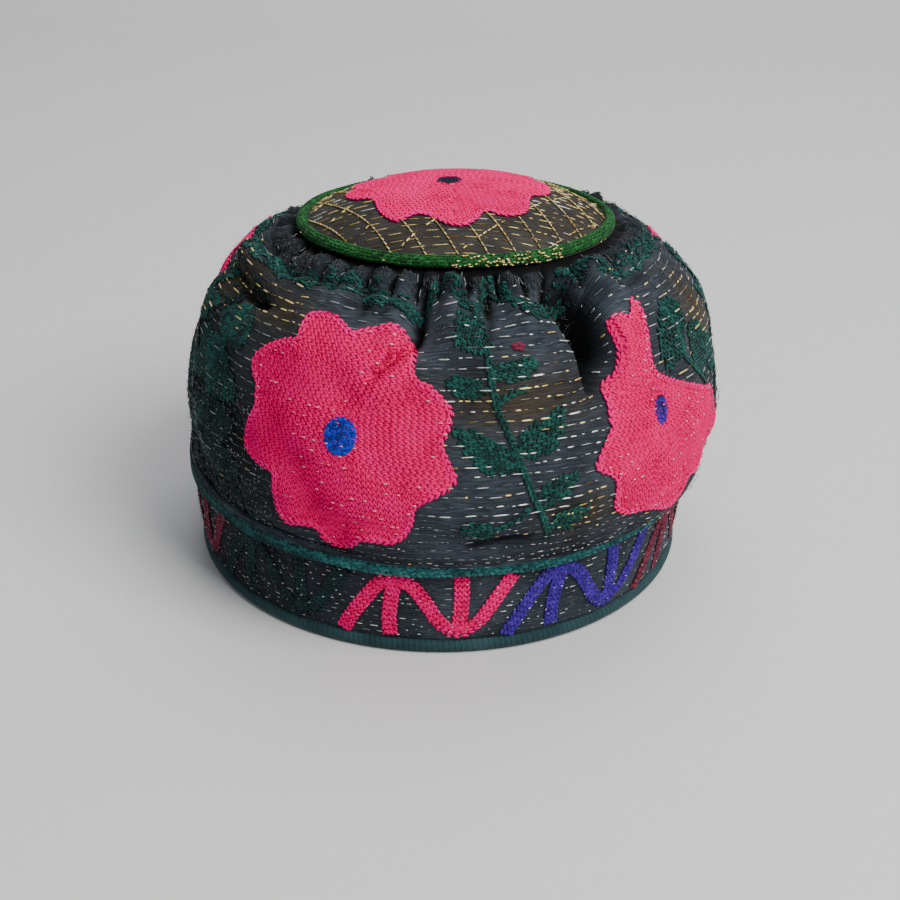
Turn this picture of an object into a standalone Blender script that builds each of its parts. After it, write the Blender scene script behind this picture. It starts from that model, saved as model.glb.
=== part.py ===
"""A soft round skullcap: an upright band, a puffed wall gathered under a domed top panel.

Metres, +Z up, the front of the cap towards -Y. The origin is on the surface that the cap rests
on, under the middle of the whole cap. Turns are measured from the front, towards +X.
"""

import math
from collections import namedtuple

import bmesh
import bpy
from mathutils import Vector

# Band, with the cord under it and the piping on it
BAND_BOTTOM_RADIUS = 0.0862
BAND_TOP_RADIUS = 0.0883
BAND_TOP_HEIGHT = 0.0345
BAND_WALL = 0.0024
BAND_BULGE = 0.0006
HEM_CORD_WIDTH = 0.0052
PIPING_WIDTH = 0.0040

# Puffed wall between the piping and the top panel
WALL_RADIUS = 0.0928
WALL_CLOTH = 0.0018
WALL_LEAN = 0.0055
GATHERS = 44
GATHER_DEPTH = 0.0030
FOLD_DEPTH = 0.0120
FOLD_RISE = 1.4
FOLD_FADE = 0.6
FOLD_ROUNDNESS = 1.6

# Top panel and the cord round it
DISC_RADIUS = 0.0530
DISC_HEIGHT = 0.1198
DISC_DOME = 0.0112
DOME_FLATNESS = 3.0
DISC_CLOTH = 0.0020
DISC_CORD_WIDTH = 0.0040
DISC_TIP_BACK = math.radians(3.9)
DISC_TIP_LEFT = math.radians(0.8)

# Small clearance that neighbouring pieces keep
GAP = 0.0003

# Fineness of the round pieces
ROUND_STEPS = 64
DISC_STEPS = 48
HEM_SIDES = 10
CORD_SIDES = 8
DOME_RINGS = 5
WALL_COLUMNS = 2 * GATHERS
LOWER_ROWS = 7
UPPER_ROWS = 4
GATHER_START = 0.72
COLUMN_PULL = 0.5
COLUMN_REACH = math.radians(8)

# The wall's section, from the piping up to the panel. climb: place along the section. height:
# share of the rise from piping to panel. fullness: share of the way out to WALL_RADIUS, from the
# piping below the fullest row and from the panel above it. lean, tip, gather: share of WALL_LEAN,
# of the panel's tilt and of GATHER_DEPTH.
FULLEST_CLIMB = 0.18
WallRow = namedtuple("WallRow", "climb height fullness lean tip gather")
WALL_ROWS = (
    WallRow(0.00, 0.000, 0.00, 0.00, 0.00, 0.00),
    WallRow(0.04, -0.020, 0.72, 0.45, 0.00, 0.00),
    WallRow(FULLEST_CLIMB, 0.166, 1.00, 0.76, 0.00, 0.00),
    WallRow(0.36, 0.400, 0.985, 0.76, 0.02, 0.00),
    WallRow(0.53, 0.628, 0.88, 0.82, 0.13, 0.00),
    WallRow(0.67, 0.790, 0.75, 0.95, 0.38, 0.05),
    WallRow(0.85, 0.938, 0.39, 1.00, 0.72, 0.30),
    WallRow(0.93, 0.965, 0.17, 1.00, 0.86, 0.90),
    WallRow(1.00, 1.000, 0.00, 1.00, 1.00, 1.00),
)

# Folds and dents of the wall. turn and slant: degrees from the front at the fold's upper end, and
# how much further round its lower end lies. left, right: half widths in degrees. depth: share of
# FOLD_DEPTH. low, high: the climb at its ends.
Fold = namedtuple("Fold", "turn slant left right depth low high")
FOLDS = (
    Fold(-9.5, 1.0, 3.5, 4.5, 0.36, 0.52, 0.98),
    Fold(8.4, 0.0, 3.5, 4.5, 0.30, 0.70, 0.99),
    Fold(33.5, -2.5, 6.5, 3.5, 1.00, 0.47, 0.98),
    Fold(104.0, 5.0, 6.0, 9.0, 0.40, 0.45, 0.98),
    Fold(146.0, -4.0, 9.0, 6.0, 0.34, 0.48, 0.98),
    Fold(188.0, 3.0, 7.0, 7.0, 0.42, 0.42, 0.98),
    Fold(228.0, -5.0, 6.0, 9.0, 0.30, 0.50, 0.98),
    Fold(268.0, 4.0, 8.0, 6.0, 0.38, 0.45, 0.98),
    Fold(300.0, 3.0, 6.0, 6.0, 0.36, 0.60, 0.98),
)

COLOURS = {
    "hem_cord": (0.010, 0.050, 0.050),
    "band": (0.030, 0.036, 0.042),
    "band_piping": (0.008, 0.070, 0.055),
    "side_wall": (0.030, 0.036, 0.042),
    "disc_edge_cord": (0.012, 0.120, 0.030),
    "crown_disc": (0.040, 0.040, 0.038),
}
CLOTH_ROUGHNESS = 0.9


def clear_scene():
    for obj in list(bpy.data.objects):
        bpy.data.objects.remove(obj, do_unlink=True)


def cap_collection():
    collection = bpy.data.collections.new("skullcap")
    bpy.context.scene.collection.children.link(collection)
    return collection


def cloth_material(name):
    material = bpy.data.materials.new(name + "_cloth")
    material.use_nodes = True
    shader = material.node_tree.nodes["Principled BSDF"]
    shader.inputs["Base Color"].default_value = (*COLOURS[name], 1)
    shader.inputs["Roughness"].default_value = CLOTH_ROUGHNESS
    shader.inputs["Metallic"].default_value = 0
    material.diffuse_color = (*COLOURS[name], 1)
    return material


def mesh_object(name, mesh, collection):
    mesh.materials.append(cloth_material(name))
    obj = bpy.data.objects.new(name, mesh)
    collection.objects.link(obj)
    return obj


def cord_section(radius, height, width, sides):
    """A cord's round section as (radius, height) points, with a flat side below."""
    half_step = math.pi / sides
    reach = width / 2 / math.cos(half_step)
    angles = [math.pi / 2 + half_step - 2 * half_step * i for i in range(sides)]
    return [(radius + reach * math.cos(a), height + reach * math.sin(a)) for a in angles]


def turned_piece(name, section, steps, collection, closed=True):
    """A section turned once round Z. It runs down its outer side and back up its inner side."""
    edges = [(i, i + 1) for i in range(len(section) - 1)]
    if closed:
        edges.append((len(section) - 1, 0))
    mesh = bpy.data.meshes.new(name)
    mesh.from_pydata([(r, 0, z) for r, z in section], edges, [])
    obj = mesh_object(name, mesh, collection)
    screw = obj.modifiers.new("turn", "SCREW")
    screw.steps = steps
    screw.render_steps = steps
    screw.use_merge_vertices = True
    screw.merge_threshold = 0.00001
    screw.use_smooth_shade = True
    return obj


def make_hem_cord(collection):
    radius = BAND_BOTTOM_RADIUS - BAND_WALL / 2
    section = cord_section(radius, HEM_CORD_WIDTH / 2, HEM_CORD_WIDTH, HEM_SIDES)
    return turned_piece("hem_cord", section, ROUND_STEPS, collection)


def make_band(collection):
    bottom = HEM_CORD_WIDTH + GAP
    top = BAND_TOP_HEIGHT - PIPING_WIDTH / 2 - GAP
    middle = (bottom + top) / 2
    middle_radius = (BAND_BOTTOM_RADIUS + BAND_TOP_RADIUS) / 2 + BAND_BULGE
    outside = [(BAND_TOP_RADIUS, top), (middle_radius, middle), (BAND_BOTTOM_RADIUS, bottom)]
    inside = [(r - BAND_WALL, z) for r, z in reversed(outside)]
    return turned_piece("band", outside + inside, ROUND_STEPS, collection)


def make_band_piping(collection):
    radius = BAND_TOP_RADIUS - BAND_WALL / 2
    section = cord_section(radius, BAND_TOP_HEIGHT, PIPING_WIDTH, CORD_SIDES)
    return turned_piece("band_piping", section, ROUND_STEPS, collection)


def wall_row(climb):
    """The section's values at one climb, on a smooth curve through WALL_ROWS."""
    last = len(WALL_ROWS) - 1
    i = min(max(sum(row.climb <= climb for row in WALL_ROWS) - 1, 0), last - 1)
    here, above = WALL_ROWS[i], WALL_ROWS[i + 1]
    span = above.climb - here.climb
    t = (climb - here.climb) / span

    def slope(k, field):
        low, high = WALL_ROWS[max(k - 1, 0)], WALL_ROWS[min(k + 1, last)]
        return (getattr(high, field) - getattr(low, field)) / (high.climb - low.climb)

    def blend(field):
        a, b = getattr(here, field), getattr(above, field)
        bend_a = slope(i, field) * span * (1 - t) - (b - a) * (1 - t)
        bend_b = (b - a) * t - slope(i + 1, field) * span * t
        return a + (b - a) * t + t * (1 - t) * (bend_a + bend_b)

    return WallRow(climb, *[blend(field) for field in WallRow._fields[1:]])


def wall_profile(climb):
    """Radius and height of the wall's section, with no gathers, folds, lean or tilt."""
    row = wall_row(climb)
    foot_radius = BAND_TOP_RADIUS - BAND_WALL / 2 + WALL_CLOTH / 2
    foot_height = BAND_TOP_HEIGHT + PIPING_WIDTH / 2 + GAP
    rim_drop = DISC_CORD_WIDTH / 2 + 2 * GAP
    near_radius = foot_radius if climb <= FULLEST_CLIMB else DISC_RADIUS
    radius = near_radius + (WALL_RADIUS - near_radius) * row.fullness
    height = foot_height + (DISC_HEIGHT - rim_drop - foot_height) * row.height
    return radius, height


def wall_normal(climb):
    """The outward direction of the section at one climb, as (radial, up)."""
    step = 0.01
    low, high = wall_profile(max(climb - step, 0)), wall_profile(min(climb + step, 1))
    along, up = high[0] - low[0], high[1] - low[1]
    length = math.hypot(along, up)
    return up / length, -along / length


def fold_depth(turn, climb):
    """How far the folds draw the wall in at one place."""
    depth = 0.0
    for fold in FOLDS:
        if not fold.low < climb < fold.high:
            continue
        along = (climb - fold.low) / (fold.high - fold.low)
        crease = math.radians(fold.turn + fold.slant * (1 - along))
        away = (turn - crease + math.pi) % (2 * math.pi) - math.pi
        width = math.radians(fold.left if away < 0 else fold.right)
        fade = math.sin(math.pi * along ** FOLD_RISE) ** FOLD_FADE
        depth += fold.depth * FOLD_DEPTH * fade * math.exp(-abs(away / width) ** FOLD_ROUNDNESS)
    return depth


def gather_scallop(turn):
    """0 on top of a gather, 1 in the crease between two."""
    return 1 - abs(math.cos(GATHERS * turn / 2))


def wall_point(turn, climb):
    """A point of the wall's outer face."""
    row = wall_row(climb)
    radius, height = wall_profile(climb)
    out, up = wall_normal(climb)
    drawn_in = row.gather * GATHER_DEPTH * gather_scallop(turn) + fold_depth(turn, climb)
    radius -= drawn_in * out
    height -= drawn_in * up
    x, y = radius * math.sin(turn), -radius * math.cos(turn)
    tilt = math.tan(DISC_TIP_LEFT) * x - math.tan(DISC_TIP_BACK) * y
    return x + row.lean * WALL_LEAN, y, height + row.tip * tilt


def column_turn(turn):
    """An even turn moved towards the nearest creases, so that columns lie closer there."""
    moved = turn
    for fold in FOLDS:
        away = (turn - math.radians(fold.turn) + math.pi) % (2 * math.pi) - math.pi
        moved -= COLUMN_PULL * away * math.exp(-((away / COLUMN_REACH) ** 2))
    return moved


def make_side_wall(collection):
    """Coarse columns up to the gathers, then twice as many, with a cloth thickness inwards."""
    shape = bmesh.new()

    def ring(climb, columns):
        turns = [column_turn(2 * math.pi * i / columns) for i in range(columns)]
        return [shape.verts.new(wall_point(turn, climb)) for turn in turns]

    lower = [ring(GATHER_START * i / LOWER_ROWS, WALL_COLUMNS) for i in range(LOWER_ROWS)]
    rise = 1 - GATHER_START
    fine = 2 * WALL_COLUMNS
    upper = [ring(GATHER_START + rise * i / UPPER_ROWS, fine) for i in range(UPPER_ROWS + 1)]
    for rings in (lower, upper):
        for below, above in zip(rings, rings[1:]):
            for i in range(len(below)):
                j = (i + 1) % len(below)
                shape.faces.new((below[i], below[j], above[j], above[i]))
    seam, first = lower[-1], upper[0]
    for i in range(WALL_COLUMNS):
        j = (i + 1) % WALL_COLUMNS
        between = first[2 * i + 1]
        shape.faces.new((seam[i], between, first[2 * i]))
        shape.faces.new((seam[i], seam[j], between))
        shape.faces.new((seam[j], first[2 * j], between))
    for face in shape.faces:
        face.smooth = True
    mesh = bpy.data.meshes.new("side_wall")
    shape.to_mesh(mesh)
    shape.free()
    obj = mesh_object("side_wall", mesh, collection)
    cloth = obj.modifiers.new("cloth", "SOLIDIFY")
    cloth.thickness = WALL_CLOTH
    cloth.offset = -1
    return obj


def place_on_tilt(obj):
    """Sets a turned piece of the top panel over the wall's rim, at the panel's tilt."""
    obj.location = (WALL_LEAN, 0, DISC_HEIGHT)
    obj.rotation_euler = (-DISC_TIP_BACK, -DISC_TIP_LEFT, 0)


def make_disc_edge_cord(collection):
    section = cord_section(DISC_RADIUS, 0, DISC_CORD_WIDTH, CORD_SIDES)
    place_on_tilt(turned_piece("disc_edge_cord", section, ROUND_STEPS, collection))


def make_crown_disc(collection):
    """A shallow dome inside the cord, one cloth thick."""
    edge = DISC_RADIUS - DISC_CORD_WIDTH / 2 - GAP
    radii = [edge * i / DOME_RINGS for i in range(DOME_RINGS + 1)]
    outside = [(r, DISC_DOME * (1 - (r / DISC_RADIUS) ** DOME_FLATNESS)) for r in radii]
    inside = [(r, z - DISC_CLOTH) for r, z in reversed(outside)]
    section = outside + inside
    place_on_tilt(turned_piece("crown_disc", section, DISC_STEPS, collection, closed=False))


def centre_on_origin(collection):
    """Hangs all pieces on an empty that brings the middle of the whole cap over the origin."""
    bpy.context.view_layer.update()
    graph = bpy.context.evaluated_depsgraph_get()
    pieces = list(collection.objects)
    corners = [
        obj.matrix_world @ Vector(corner)
        for obj in pieces
        for corner in obj.evaluated_get(graph).bound_box
    ]
    anchor = bpy.data.objects.new("cap_anchor", None)
    collection.objects.link(anchor)
    for axis in (0, 1):
        reach = [corner[axis] for corner in corners]
        anchor.location[axis] = -(min(reach) + max(reach)) / 2
    for obj in pieces:
        obj.parent = anchor


def main():
    clear_scene()
    collection = cap_collection()
    make_hem_cord(collection)
    make_band(collection)
    make_band_piping(collection)
    make_side_wall(collection)
    make_disc_edge_cord(collection)
    make_crown_disc(collection)
    centre_on_origin(collection)


main()
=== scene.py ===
"""A soft round embroidered skullcap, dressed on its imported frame.

Metres, +Z up, the front of the cap towards -Y. Turns are measured from the front, towards +X.
A climb runs from 0 at the piping to 1 at the top panel, as in the part's source.
"""

import math

import bmesh
import bpy
import numpy as np
from mathutils import Matrix, Vector


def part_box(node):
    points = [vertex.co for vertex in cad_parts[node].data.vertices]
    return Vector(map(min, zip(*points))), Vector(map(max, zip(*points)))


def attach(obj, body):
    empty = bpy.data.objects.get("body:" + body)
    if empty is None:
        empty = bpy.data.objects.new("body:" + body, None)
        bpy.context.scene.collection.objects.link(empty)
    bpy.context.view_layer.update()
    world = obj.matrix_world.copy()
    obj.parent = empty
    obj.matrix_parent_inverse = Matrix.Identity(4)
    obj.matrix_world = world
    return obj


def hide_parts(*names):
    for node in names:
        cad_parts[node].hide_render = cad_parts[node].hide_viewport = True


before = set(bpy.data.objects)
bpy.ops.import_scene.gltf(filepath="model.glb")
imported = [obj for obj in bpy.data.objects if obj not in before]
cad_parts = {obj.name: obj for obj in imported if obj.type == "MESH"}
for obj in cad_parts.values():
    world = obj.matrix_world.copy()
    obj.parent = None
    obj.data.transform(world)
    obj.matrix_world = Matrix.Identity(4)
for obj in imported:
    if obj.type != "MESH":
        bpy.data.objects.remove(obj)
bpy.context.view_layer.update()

# Sizes repeated from the part's source
BAND_BOTTOM_RADIUS = 0.0862
BAND_TOP_RADIUS = 0.0883
BAND_TOP_HEIGHT = 0.0345
BAND_WALL = 0.0024
BAND_BULGE = 0.0006
HEM_CORD_WIDTH = 0.0052
PIPING_WIDTH = 0.0040
WALL_RADIUS = 0.0928
WALL_CLOTH = 0.0018
WALL_LEAN = 0.0055
GATHERS = 44
FOLD_DEPTH = 0.0120
FOLD_RISE = 1.4
FOLD_FADE = 0.6
FOLD_ROUNDNESS = 1.6
FULLEST_CLIMB = 0.18
DISC_RADIUS = 0.0530
DISC_HEIGHT = 0.1198
DISC_DOME = 0.0112
DOME_FLATNESS = 3.0
DISC_CORD_WIDTH = 0.0040
DISC_TIP_BACK = math.radians(3.9)
DISC_TIP_LEFT = math.radians(0.8)
GAP = 0.0003

# climb, height, fullness, lean, tip, gather
WALL_ROWS = np.array((
    (0.00, 0.000, 0.00, 0.00, 0.00, 0.00),
    (0.04, -0.020, 0.72, 0.45, 0.00, 0.00),
    (FULLEST_CLIMB, 0.166, 1.00, 0.76, 0.00, 0.00),
    (0.36, 0.400, 0.985, 0.76, 0.02, 0.00),
    (0.53, 0.628, 0.88, 0.82, 0.13, 0.00),
    (0.67, 0.790, 0.75, 0.95, 0.38, 0.05),
    (0.85, 0.938, 0.39, 1.00, 0.72, 0.30),
    (0.93, 0.965, 0.17, 1.00, 0.86, 0.90),
    (1.00, 1.000, 0.00, 1.00, 1.00, 1.00),
))

# turn, slant, left, right, depth, low, high
FOLDS = (
    (-9.5, 1.0, 3.5, 4.5, 0.36, 0.52, 0.98),
    (8.4, 0.0, 3.5, 4.5, 0.30, 0.70, 0.99),
    (33.5, -2.5, 6.5, 3.5, 1.00, 0.47, 0.98),
    (104.0, 5.0, 6.0, 9.0, 0.40, 0.45, 0.98),
    (146.0, -4.0, 9.0, 6.0, 0.34, 0.48, 0.98),
    (188.0, 3.0, 7.0, 7.0, 0.42, 0.42, 0.98),
    (228.0, -5.0, 6.0, 9.0, 0.30, 0.50, 0.98),
    (268.0, 4.0, 8.0, 6.0, 0.38, 0.45, 0.98),
    (300.0, 3.0, 6.0, 6.0, 0.36, 0.60, 0.98),
)

# The wall's length from piping to panel, and the usual radius that turns are measured on
WALL_LENGTH = 0.110
USUAL_RADIUS = 0.0900

band_low, band_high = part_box("band")
BAND_MIDDLE = np.array(((band_low[0] + band_high[0]) / 2, (band_low[1] + band_high[1]) / 2, 0.0))
DEGREE = math.pi / 180


def smooth_step(low, high, value):
    share = np.clip((value - low) / (high - low), 0, 1)
    return share * share * (3 - 2 * share)


def around(turn, middle):
    """The shortest way from the middle to each turn, in radians."""
    return (turn - middle + math.pi) % (2 * math.pi) - math.pi


def outward_way(turn):
    """Level directions out of the cap at each turn."""
    return np.stack((np.sin(turn), -np.cos(turn), 0 * turn), -1)


def round_way(turn):
    """Level directions round the cap at each turn."""
    return np.stack((np.cos(turn), np.sin(turn), 0 * turn), -1)


def full_turn(count, start=0.0):
    """Evenly spaced turns once round the cap."""
    return (np.arange(count) + start) / count * 2 * math.pi


def unit(vectors):
    return vectors / np.maximum(np.linalg.norm(vectors, axis=-1, keepdims=True), 1e-12)


def wall_values(climb):
    """The section's values at each climb, on a smooth curve through WALL_ROWS."""
    last = len(WALL_ROWS) - 1
    before = [max(k - 1, 0) for k in range(last + 1)]
    after = [min(k + 1, last) for k in range(last + 1)]
    rise = WALL_ROWS[after] - WALL_ROWS[before]
    slopes = rise[:, 1:] / rise[:, :1]
    i = np.clip(np.searchsorted(WALL_ROWS[:, 0], climb, side="right") - 1, 0, last - 1)
    span = (WALL_ROWS[i + 1, 0] - WALL_ROWS[i, 0])[..., None]
    t = (climb - WALL_ROWS[i, 0])[..., None] / span
    a = WALL_ROWS[i, 1:]
    b = WALL_ROWS[i + 1, 1:]
    bend_a = slopes[i] * span * (1 - t) - (b - a) * (1 - t)
    bend_b = (b - a) * t - slopes[i + 1] * span * t
    return a + (b - a) * t + t * (1 - t) * (bend_a + bend_b)


def wall_profile(climb):
    """Radius and height of the wall's section, with no gathers, folds, lean or tilt."""
    values = wall_values(climb)
    foot_radius = BAND_TOP_RADIUS - BAND_WALL / 2 + WALL_CLOTH / 2
    foot_height = BAND_TOP_HEIGHT + PIPING_WIDTH / 2 + GAP
    rim_drop = DISC_CORD_WIDTH / 2 + 2 * GAP
    near = np.where(climb <= FULLEST_CLIMB, foot_radius, DISC_RADIUS)
    radius = near + (WALL_RADIUS - near) * values[..., 1]
    height = foot_height + (DISC_HEIGHT - rim_drop - foot_height) * values[..., 0]
    return radius, height


def fold_depth(turn, climb):
    """How far the folds draw the wall in at each place."""
    depth = np.zeros_like(turn)
    for middle, slant, left, right, share, low, high in FOLDS:
        along = np.clip((climb - low) / (high - low), 0, 1)
        crease = (middle + slant * (1 - along)) * DEGREE
        away = around(turn, crease)
        width = np.where(away < 0, left, right) * DEGREE
        fade = np.abs(np.sin(math.pi * along ** FOLD_RISE)) ** FOLD_FADE
        bell = np.exp(-np.abs(away / width) ** FOLD_ROUNDNESS)
        depth += share * FOLD_DEPTH * fade * bell
    return depth


# Soft forms finer than the source's solid: middle turn and climb, half width in degrees, half
# height in climb, and rise in metres out of the wall
SOFT_FORMS = (
    (25.6, 0.872, 4.0, 0.056, -0.0048),
    (27.6, 0.770, 2.6, 0.050, -0.0022),
    (40.6, 0.860, 3.0, 0.055, 0.0018),
    (39.4, 0.760, 2.4, 0.060, 0.0018),
    (37.4, 0.670, 2.2, 0.060, 0.0018),
    (-68.0, 0.800, 15.0, 0.060, 0.0026),
    (-57.5, 0.745, 8.0, 0.016, -0.0030),
    (-46.0, 0.830, 7.0, 0.050, -0.0012),
    (10.5, 0.132, 8.0, 0.018, -0.0026),
    (9.0, 0.185, 10.0, 0.030, 0.0012),
    (-2.0, 0.820, 6.0, 0.100, 0.0018),
    (20.0, 0.840, 8.0, 0.080, 0.0016),
    (27.0, 0.600, 5.0, 0.180, 0.0010),
    (43.5, 0.830, 3.6, 0.100, 0.0036),
    (38.4, 0.680, 2.2, 0.080, 0.0026),
    (26.0, 0.720, 4.0, 0.090, 0.0022),
    (-72.0, 0.765, 13.0, 0.022, -0.0030),
    (-78.0, 0.830, 14.0, 0.035, 0.0028),
    (-16.0, 0.840, 6.0, 0.060, 0.0012),
    (-30.0, 0.845, 9.0, 0.050, 0.0012),
    (-40.0, 0.060, 14.0, 0.030, -0.0012),
    (62.0, 0.800, 10.0, 0.080, 0.0014),
    (92.0, 0.150, 9.0, 0.020, -0.0020),
    (131.0, 0.120, 8.0, 0.022, -0.0022),
    (208.0, 0.140, 10.0, 0.018, -0.0020),
    (247.0, 0.130, 8.0, 0.020, -0.0018),
    (122.0, 0.830, 9.0, 0.080, 0.0018),
    (166.0, 0.820, 9.0, 0.090, 0.0020),
    (208.0, 0.830, 9.0, 0.080, 0.0018),
    (248.0, 0.820, 9.0, 0.080, 0.0018),
    (284.0, 0.820, 7.0, 0.070, 0.0018),
)

# Creases, from one end to the other: turn, climb, turn, climb, half width and depth in metres
CREASES = (
    (-9.2, 0.950, -9.6, 0.800, 0.0024, 0.0050),
    (-8.8, 0.810, -10.2, 0.735, 0.0018, 0.0042),
    (-9.6, 0.750, -16.6, 0.630, 0.0021, 0.0026),
    (-16.0, 0.640, -17.8, 0.600, 0.0016, 0.0012),
    (8.6, 0.960, 7.8, 0.840, 0.0022, 0.0044),
    (7.8, 0.840, 7.2, 0.740, 0.0016, 0.0020),
    (-26.0, 0.900, -24.0, 0.800, 0.0018, 0.0016),
    (1.0, 0.905, 1.0, 0.840, 0.0016, 0.0018),
    (32.6, 0.900, 32.6, 0.780, 0.0040, 0.0050),
    (32.2, 0.790, 30.8, 0.590, 0.0024, 0.0040),
    (4.5, 0.128, 16.5, 0.146, 0.0015, 0.0026),
    (-67.0, 0.730, -53.0, 0.750, 0.0020, 0.0030),
    (-30.0, 0.835, -18.0, 0.820, 0.0020, 0.0016),
    (44.0, 0.860, 60.0, 0.835, 0.0022, 0.0018),
    (-52.0, 0.300, -47.0, 0.060, 0.0030, 0.0014),
    (106.0, 0.930, 108.0, 0.640, 0.0030, 0.0044),
    (145.0, 0.940, 143.0, 0.700, 0.0026, 0.0040),
    (189.0, 0.940, 190.0, 0.640, 0.0028, 0.0044),
    (227.0, 0.940, 225.0, 0.720, 0.0026, 0.0036),
    (268.0, 0.930, 270.0, 0.660, 0.0028, 0.0040),
    (128.0, 0.120, 142.0, 0.136, 0.0016, 0.0022),
    (205.0, 0.140, 218.0, 0.128, 0.0016, 0.0022),
)

# The inside of the deepest fold, drawn deeper and painted dark as shade, as turns in degrees and climbs
FOLD_INSIDE = (
    (22.4, 0.838), (24.6, 0.915), (29.0, 0.955), (35.4, 0.940), (37.4, 0.880), (37.4, 0.807),
    (36.1, 0.735), (34.9, 0.662), (33.2, 0.599), (31.0, 0.545), (29.4, 0.560), (29.3, 0.609),
    (29.6, 0.692), (28.4, 0.748), (25.6, 0.800),
)

# Slow waves of soft cloth: waves round the cap, waves up the wall, place, rise in metres
SLOW_WAVES = (
    (7, 1.3, 0.4, 0.00050),
    (11, 2.1, 2.2, 0.00038),
    (17, 1.7, 4.1, 0.00030),
    (5, 3.4, 1.3, 0.00034),
    (23, 2.9, 5.2, 0.00020),
    (29, 4.3, 0.9, 0.00016),
)

# How far the wall is tucked in over the piping
FOOT_TUCK = 0.0016
# The radius on which the creases' half widths are measured
CREASE_RADIUS = 0.075
# How much deeper the dark inside of the deepest fold lies than the solid's own fold
FOLD_INSIDE_DEPTH = 0.0070
# A crease at least this deep takes full painted shade at its bottom
DARK_CREASE_DEPTH = 0.0035
# Where to look for the dark inside of the deepest fold: middle and reach, in degrees and climb
FOLD_MIDDLE = (32.0, 0.75)
FOLD_REACH = (12.0, 0.25)
# Between these climbs the cloth goes into the painted shade under the top cord
UNDER_CORD = (0.954, 0.978)
# The pleats at the gathers: how far a crest stands out and a crease goes in, how far the narrow
# waist below them and the tails under it go, and the rise that the top cord rests on
PLEAT_CREST = 0.0066
PLEAT_CREASE = 0.0028
PLEAT_WAIST = 0.0012
PLEAT_TAIL = 0.0012
CORD_REST_RISE = 0.0004
# The near black painted shade beside the front flower: middle and reach, in degrees and climb
SIDE_SHADE_MIDDLE = (-68.0, 0.27)
SIDE_SHADE_REACH = (30.0, 0.37)


def pleat_turn(turn):
    """Turns moved a little to and fro, so that the pleats aren't all one width."""
    return turn + 0.020 * np.sin(5 * turn + 1.0) + 0.012 * np.sin(13 * turn + 2.4)


def pleat_crest(turn):
    """1 on top of a pleat, 0 in the crease between two."""
    return np.abs(np.cos(GATHERS * pleat_turn(turn) / 2))


def crease_lines(turn, climb):
    """For each crease: how far along it each place is, how many half widths away, and its depth."""
    for turn_a, climb_a, turn_b, climb_b, wide, deep in CREASES:
        across = around(turn, turn_a * DEGREE) * CREASE_RADIUS
        up = (climb - climb_a) * WALL_LENGTH
        line_across = (turn_b - turn_a) * DEGREE * CREASE_RADIUS
        line_up = (climb_b - climb_a) * WALL_LENGTH
        along = (across * line_across + up * line_up) / (line_across ** 2 + line_up ** 2)
        along = np.clip(along, 0, 1)
        away = np.hypot(across - along * line_across, up - along * line_up) / wide
        yield along, away, deep


def crease_depth(turn, climb):
    """How far the sharp creases draw the cloth in."""
    depth = FOLD_INSIDE_DEPTH * fold_inside(turn, climb)
    for along, away, deep in crease_lines(turn, climb):
        depth += deep * np.sin(math.pi * (0.12 + 0.76 * along)) * np.exp(-away ** 1.5)
    return depth


def inside(outline, points):
    """Which points lie within a closed outline."""
    x, y = points[:, 0, None], points[:, 1, None]
    ax, ay = outline[:, 0], outline[:, 1]
    bx, by = np.roll(ax, -1), np.roll(ay, -1)
    spans = (ay > y) != (by > y)
    crossing = ax + (y - ay) * (bx - ax) / np.where(by == ay, 1e-12, by - ay)
    return (spans & (x < crossing)).sum(1) % 2 == 1


def edge_distance(outline, points):
    """How far each point is from a closed outline."""
    a = outline[None]
    b = np.roll(outline, -1, 0)[None]
    p = points[:, None]
    along = ((p - a) * (b - a)).sum(-1) / np.maximum(((b - a) ** 2).sum(-1), 1e-18)
    nearest = a + np.clip(along, 0, 1)[..., None] * (b - a)
    return np.sqrt(((p - nearest) ** 2).sum(-1).min(1))


def fold_inside(turn, climb):
    """1 well inside the deepest fold's outline, where the cloth is drawn deeper and painted dark as
    shade, 0 outside it.
    """
    scale = np.array((CREASE_RADIUS * DEGREE, WALL_LENGTH))
    outline = np.asarray(FOLD_INSIDE) * scale
    own = np.stack((around(turn, 0.0).ravel() / DEGREE, climb.ravel()), -1)
    near = (np.abs(own - FOLD_MIDDLE) < FOLD_REACH).all(1)
    result = np.zeros(len(own))
    if near.any():
        flat = own[near] * scale
        away = edge_distance(outline, flat) * np.where(inside(outline, flat), 1, -1)
        result[near] = smooth_step(-0.0010, 0.0008, away)
    return result.reshape(turn.shape)


def crease_shade(turn, climb):
    """How much the wall's cloth is darkened: painted shade of 1 in the bottom of the creases, inside
    the deepest fold, between the pleats and under the top cord, 0 elsewhere; towards the foot it is
    also made up to 0.3 darker.
    """
    between = smooth_step(0.60, 0.25, pleat_crest(turn))
    heads = smooth_step(0.885, 0.920, climb)
    under_cord = smooth_step(*UNDER_CORD, climb)
    foot = 0.30 * smooth_step(0.17, 0.03, climb)
    shades = [heads * (0.35 + 0.60 * between), fold_inside(turn, climb), under_cord, foot]
    for along, away, deep in crease_lines(turn, climb):
        strength = min(deep / DARK_CREASE_DEPTH, 1.0)
        shades.append(strength * np.exp(-(away / 0.95) ** 3))
    return np.maximum.reduce(shades)


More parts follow.
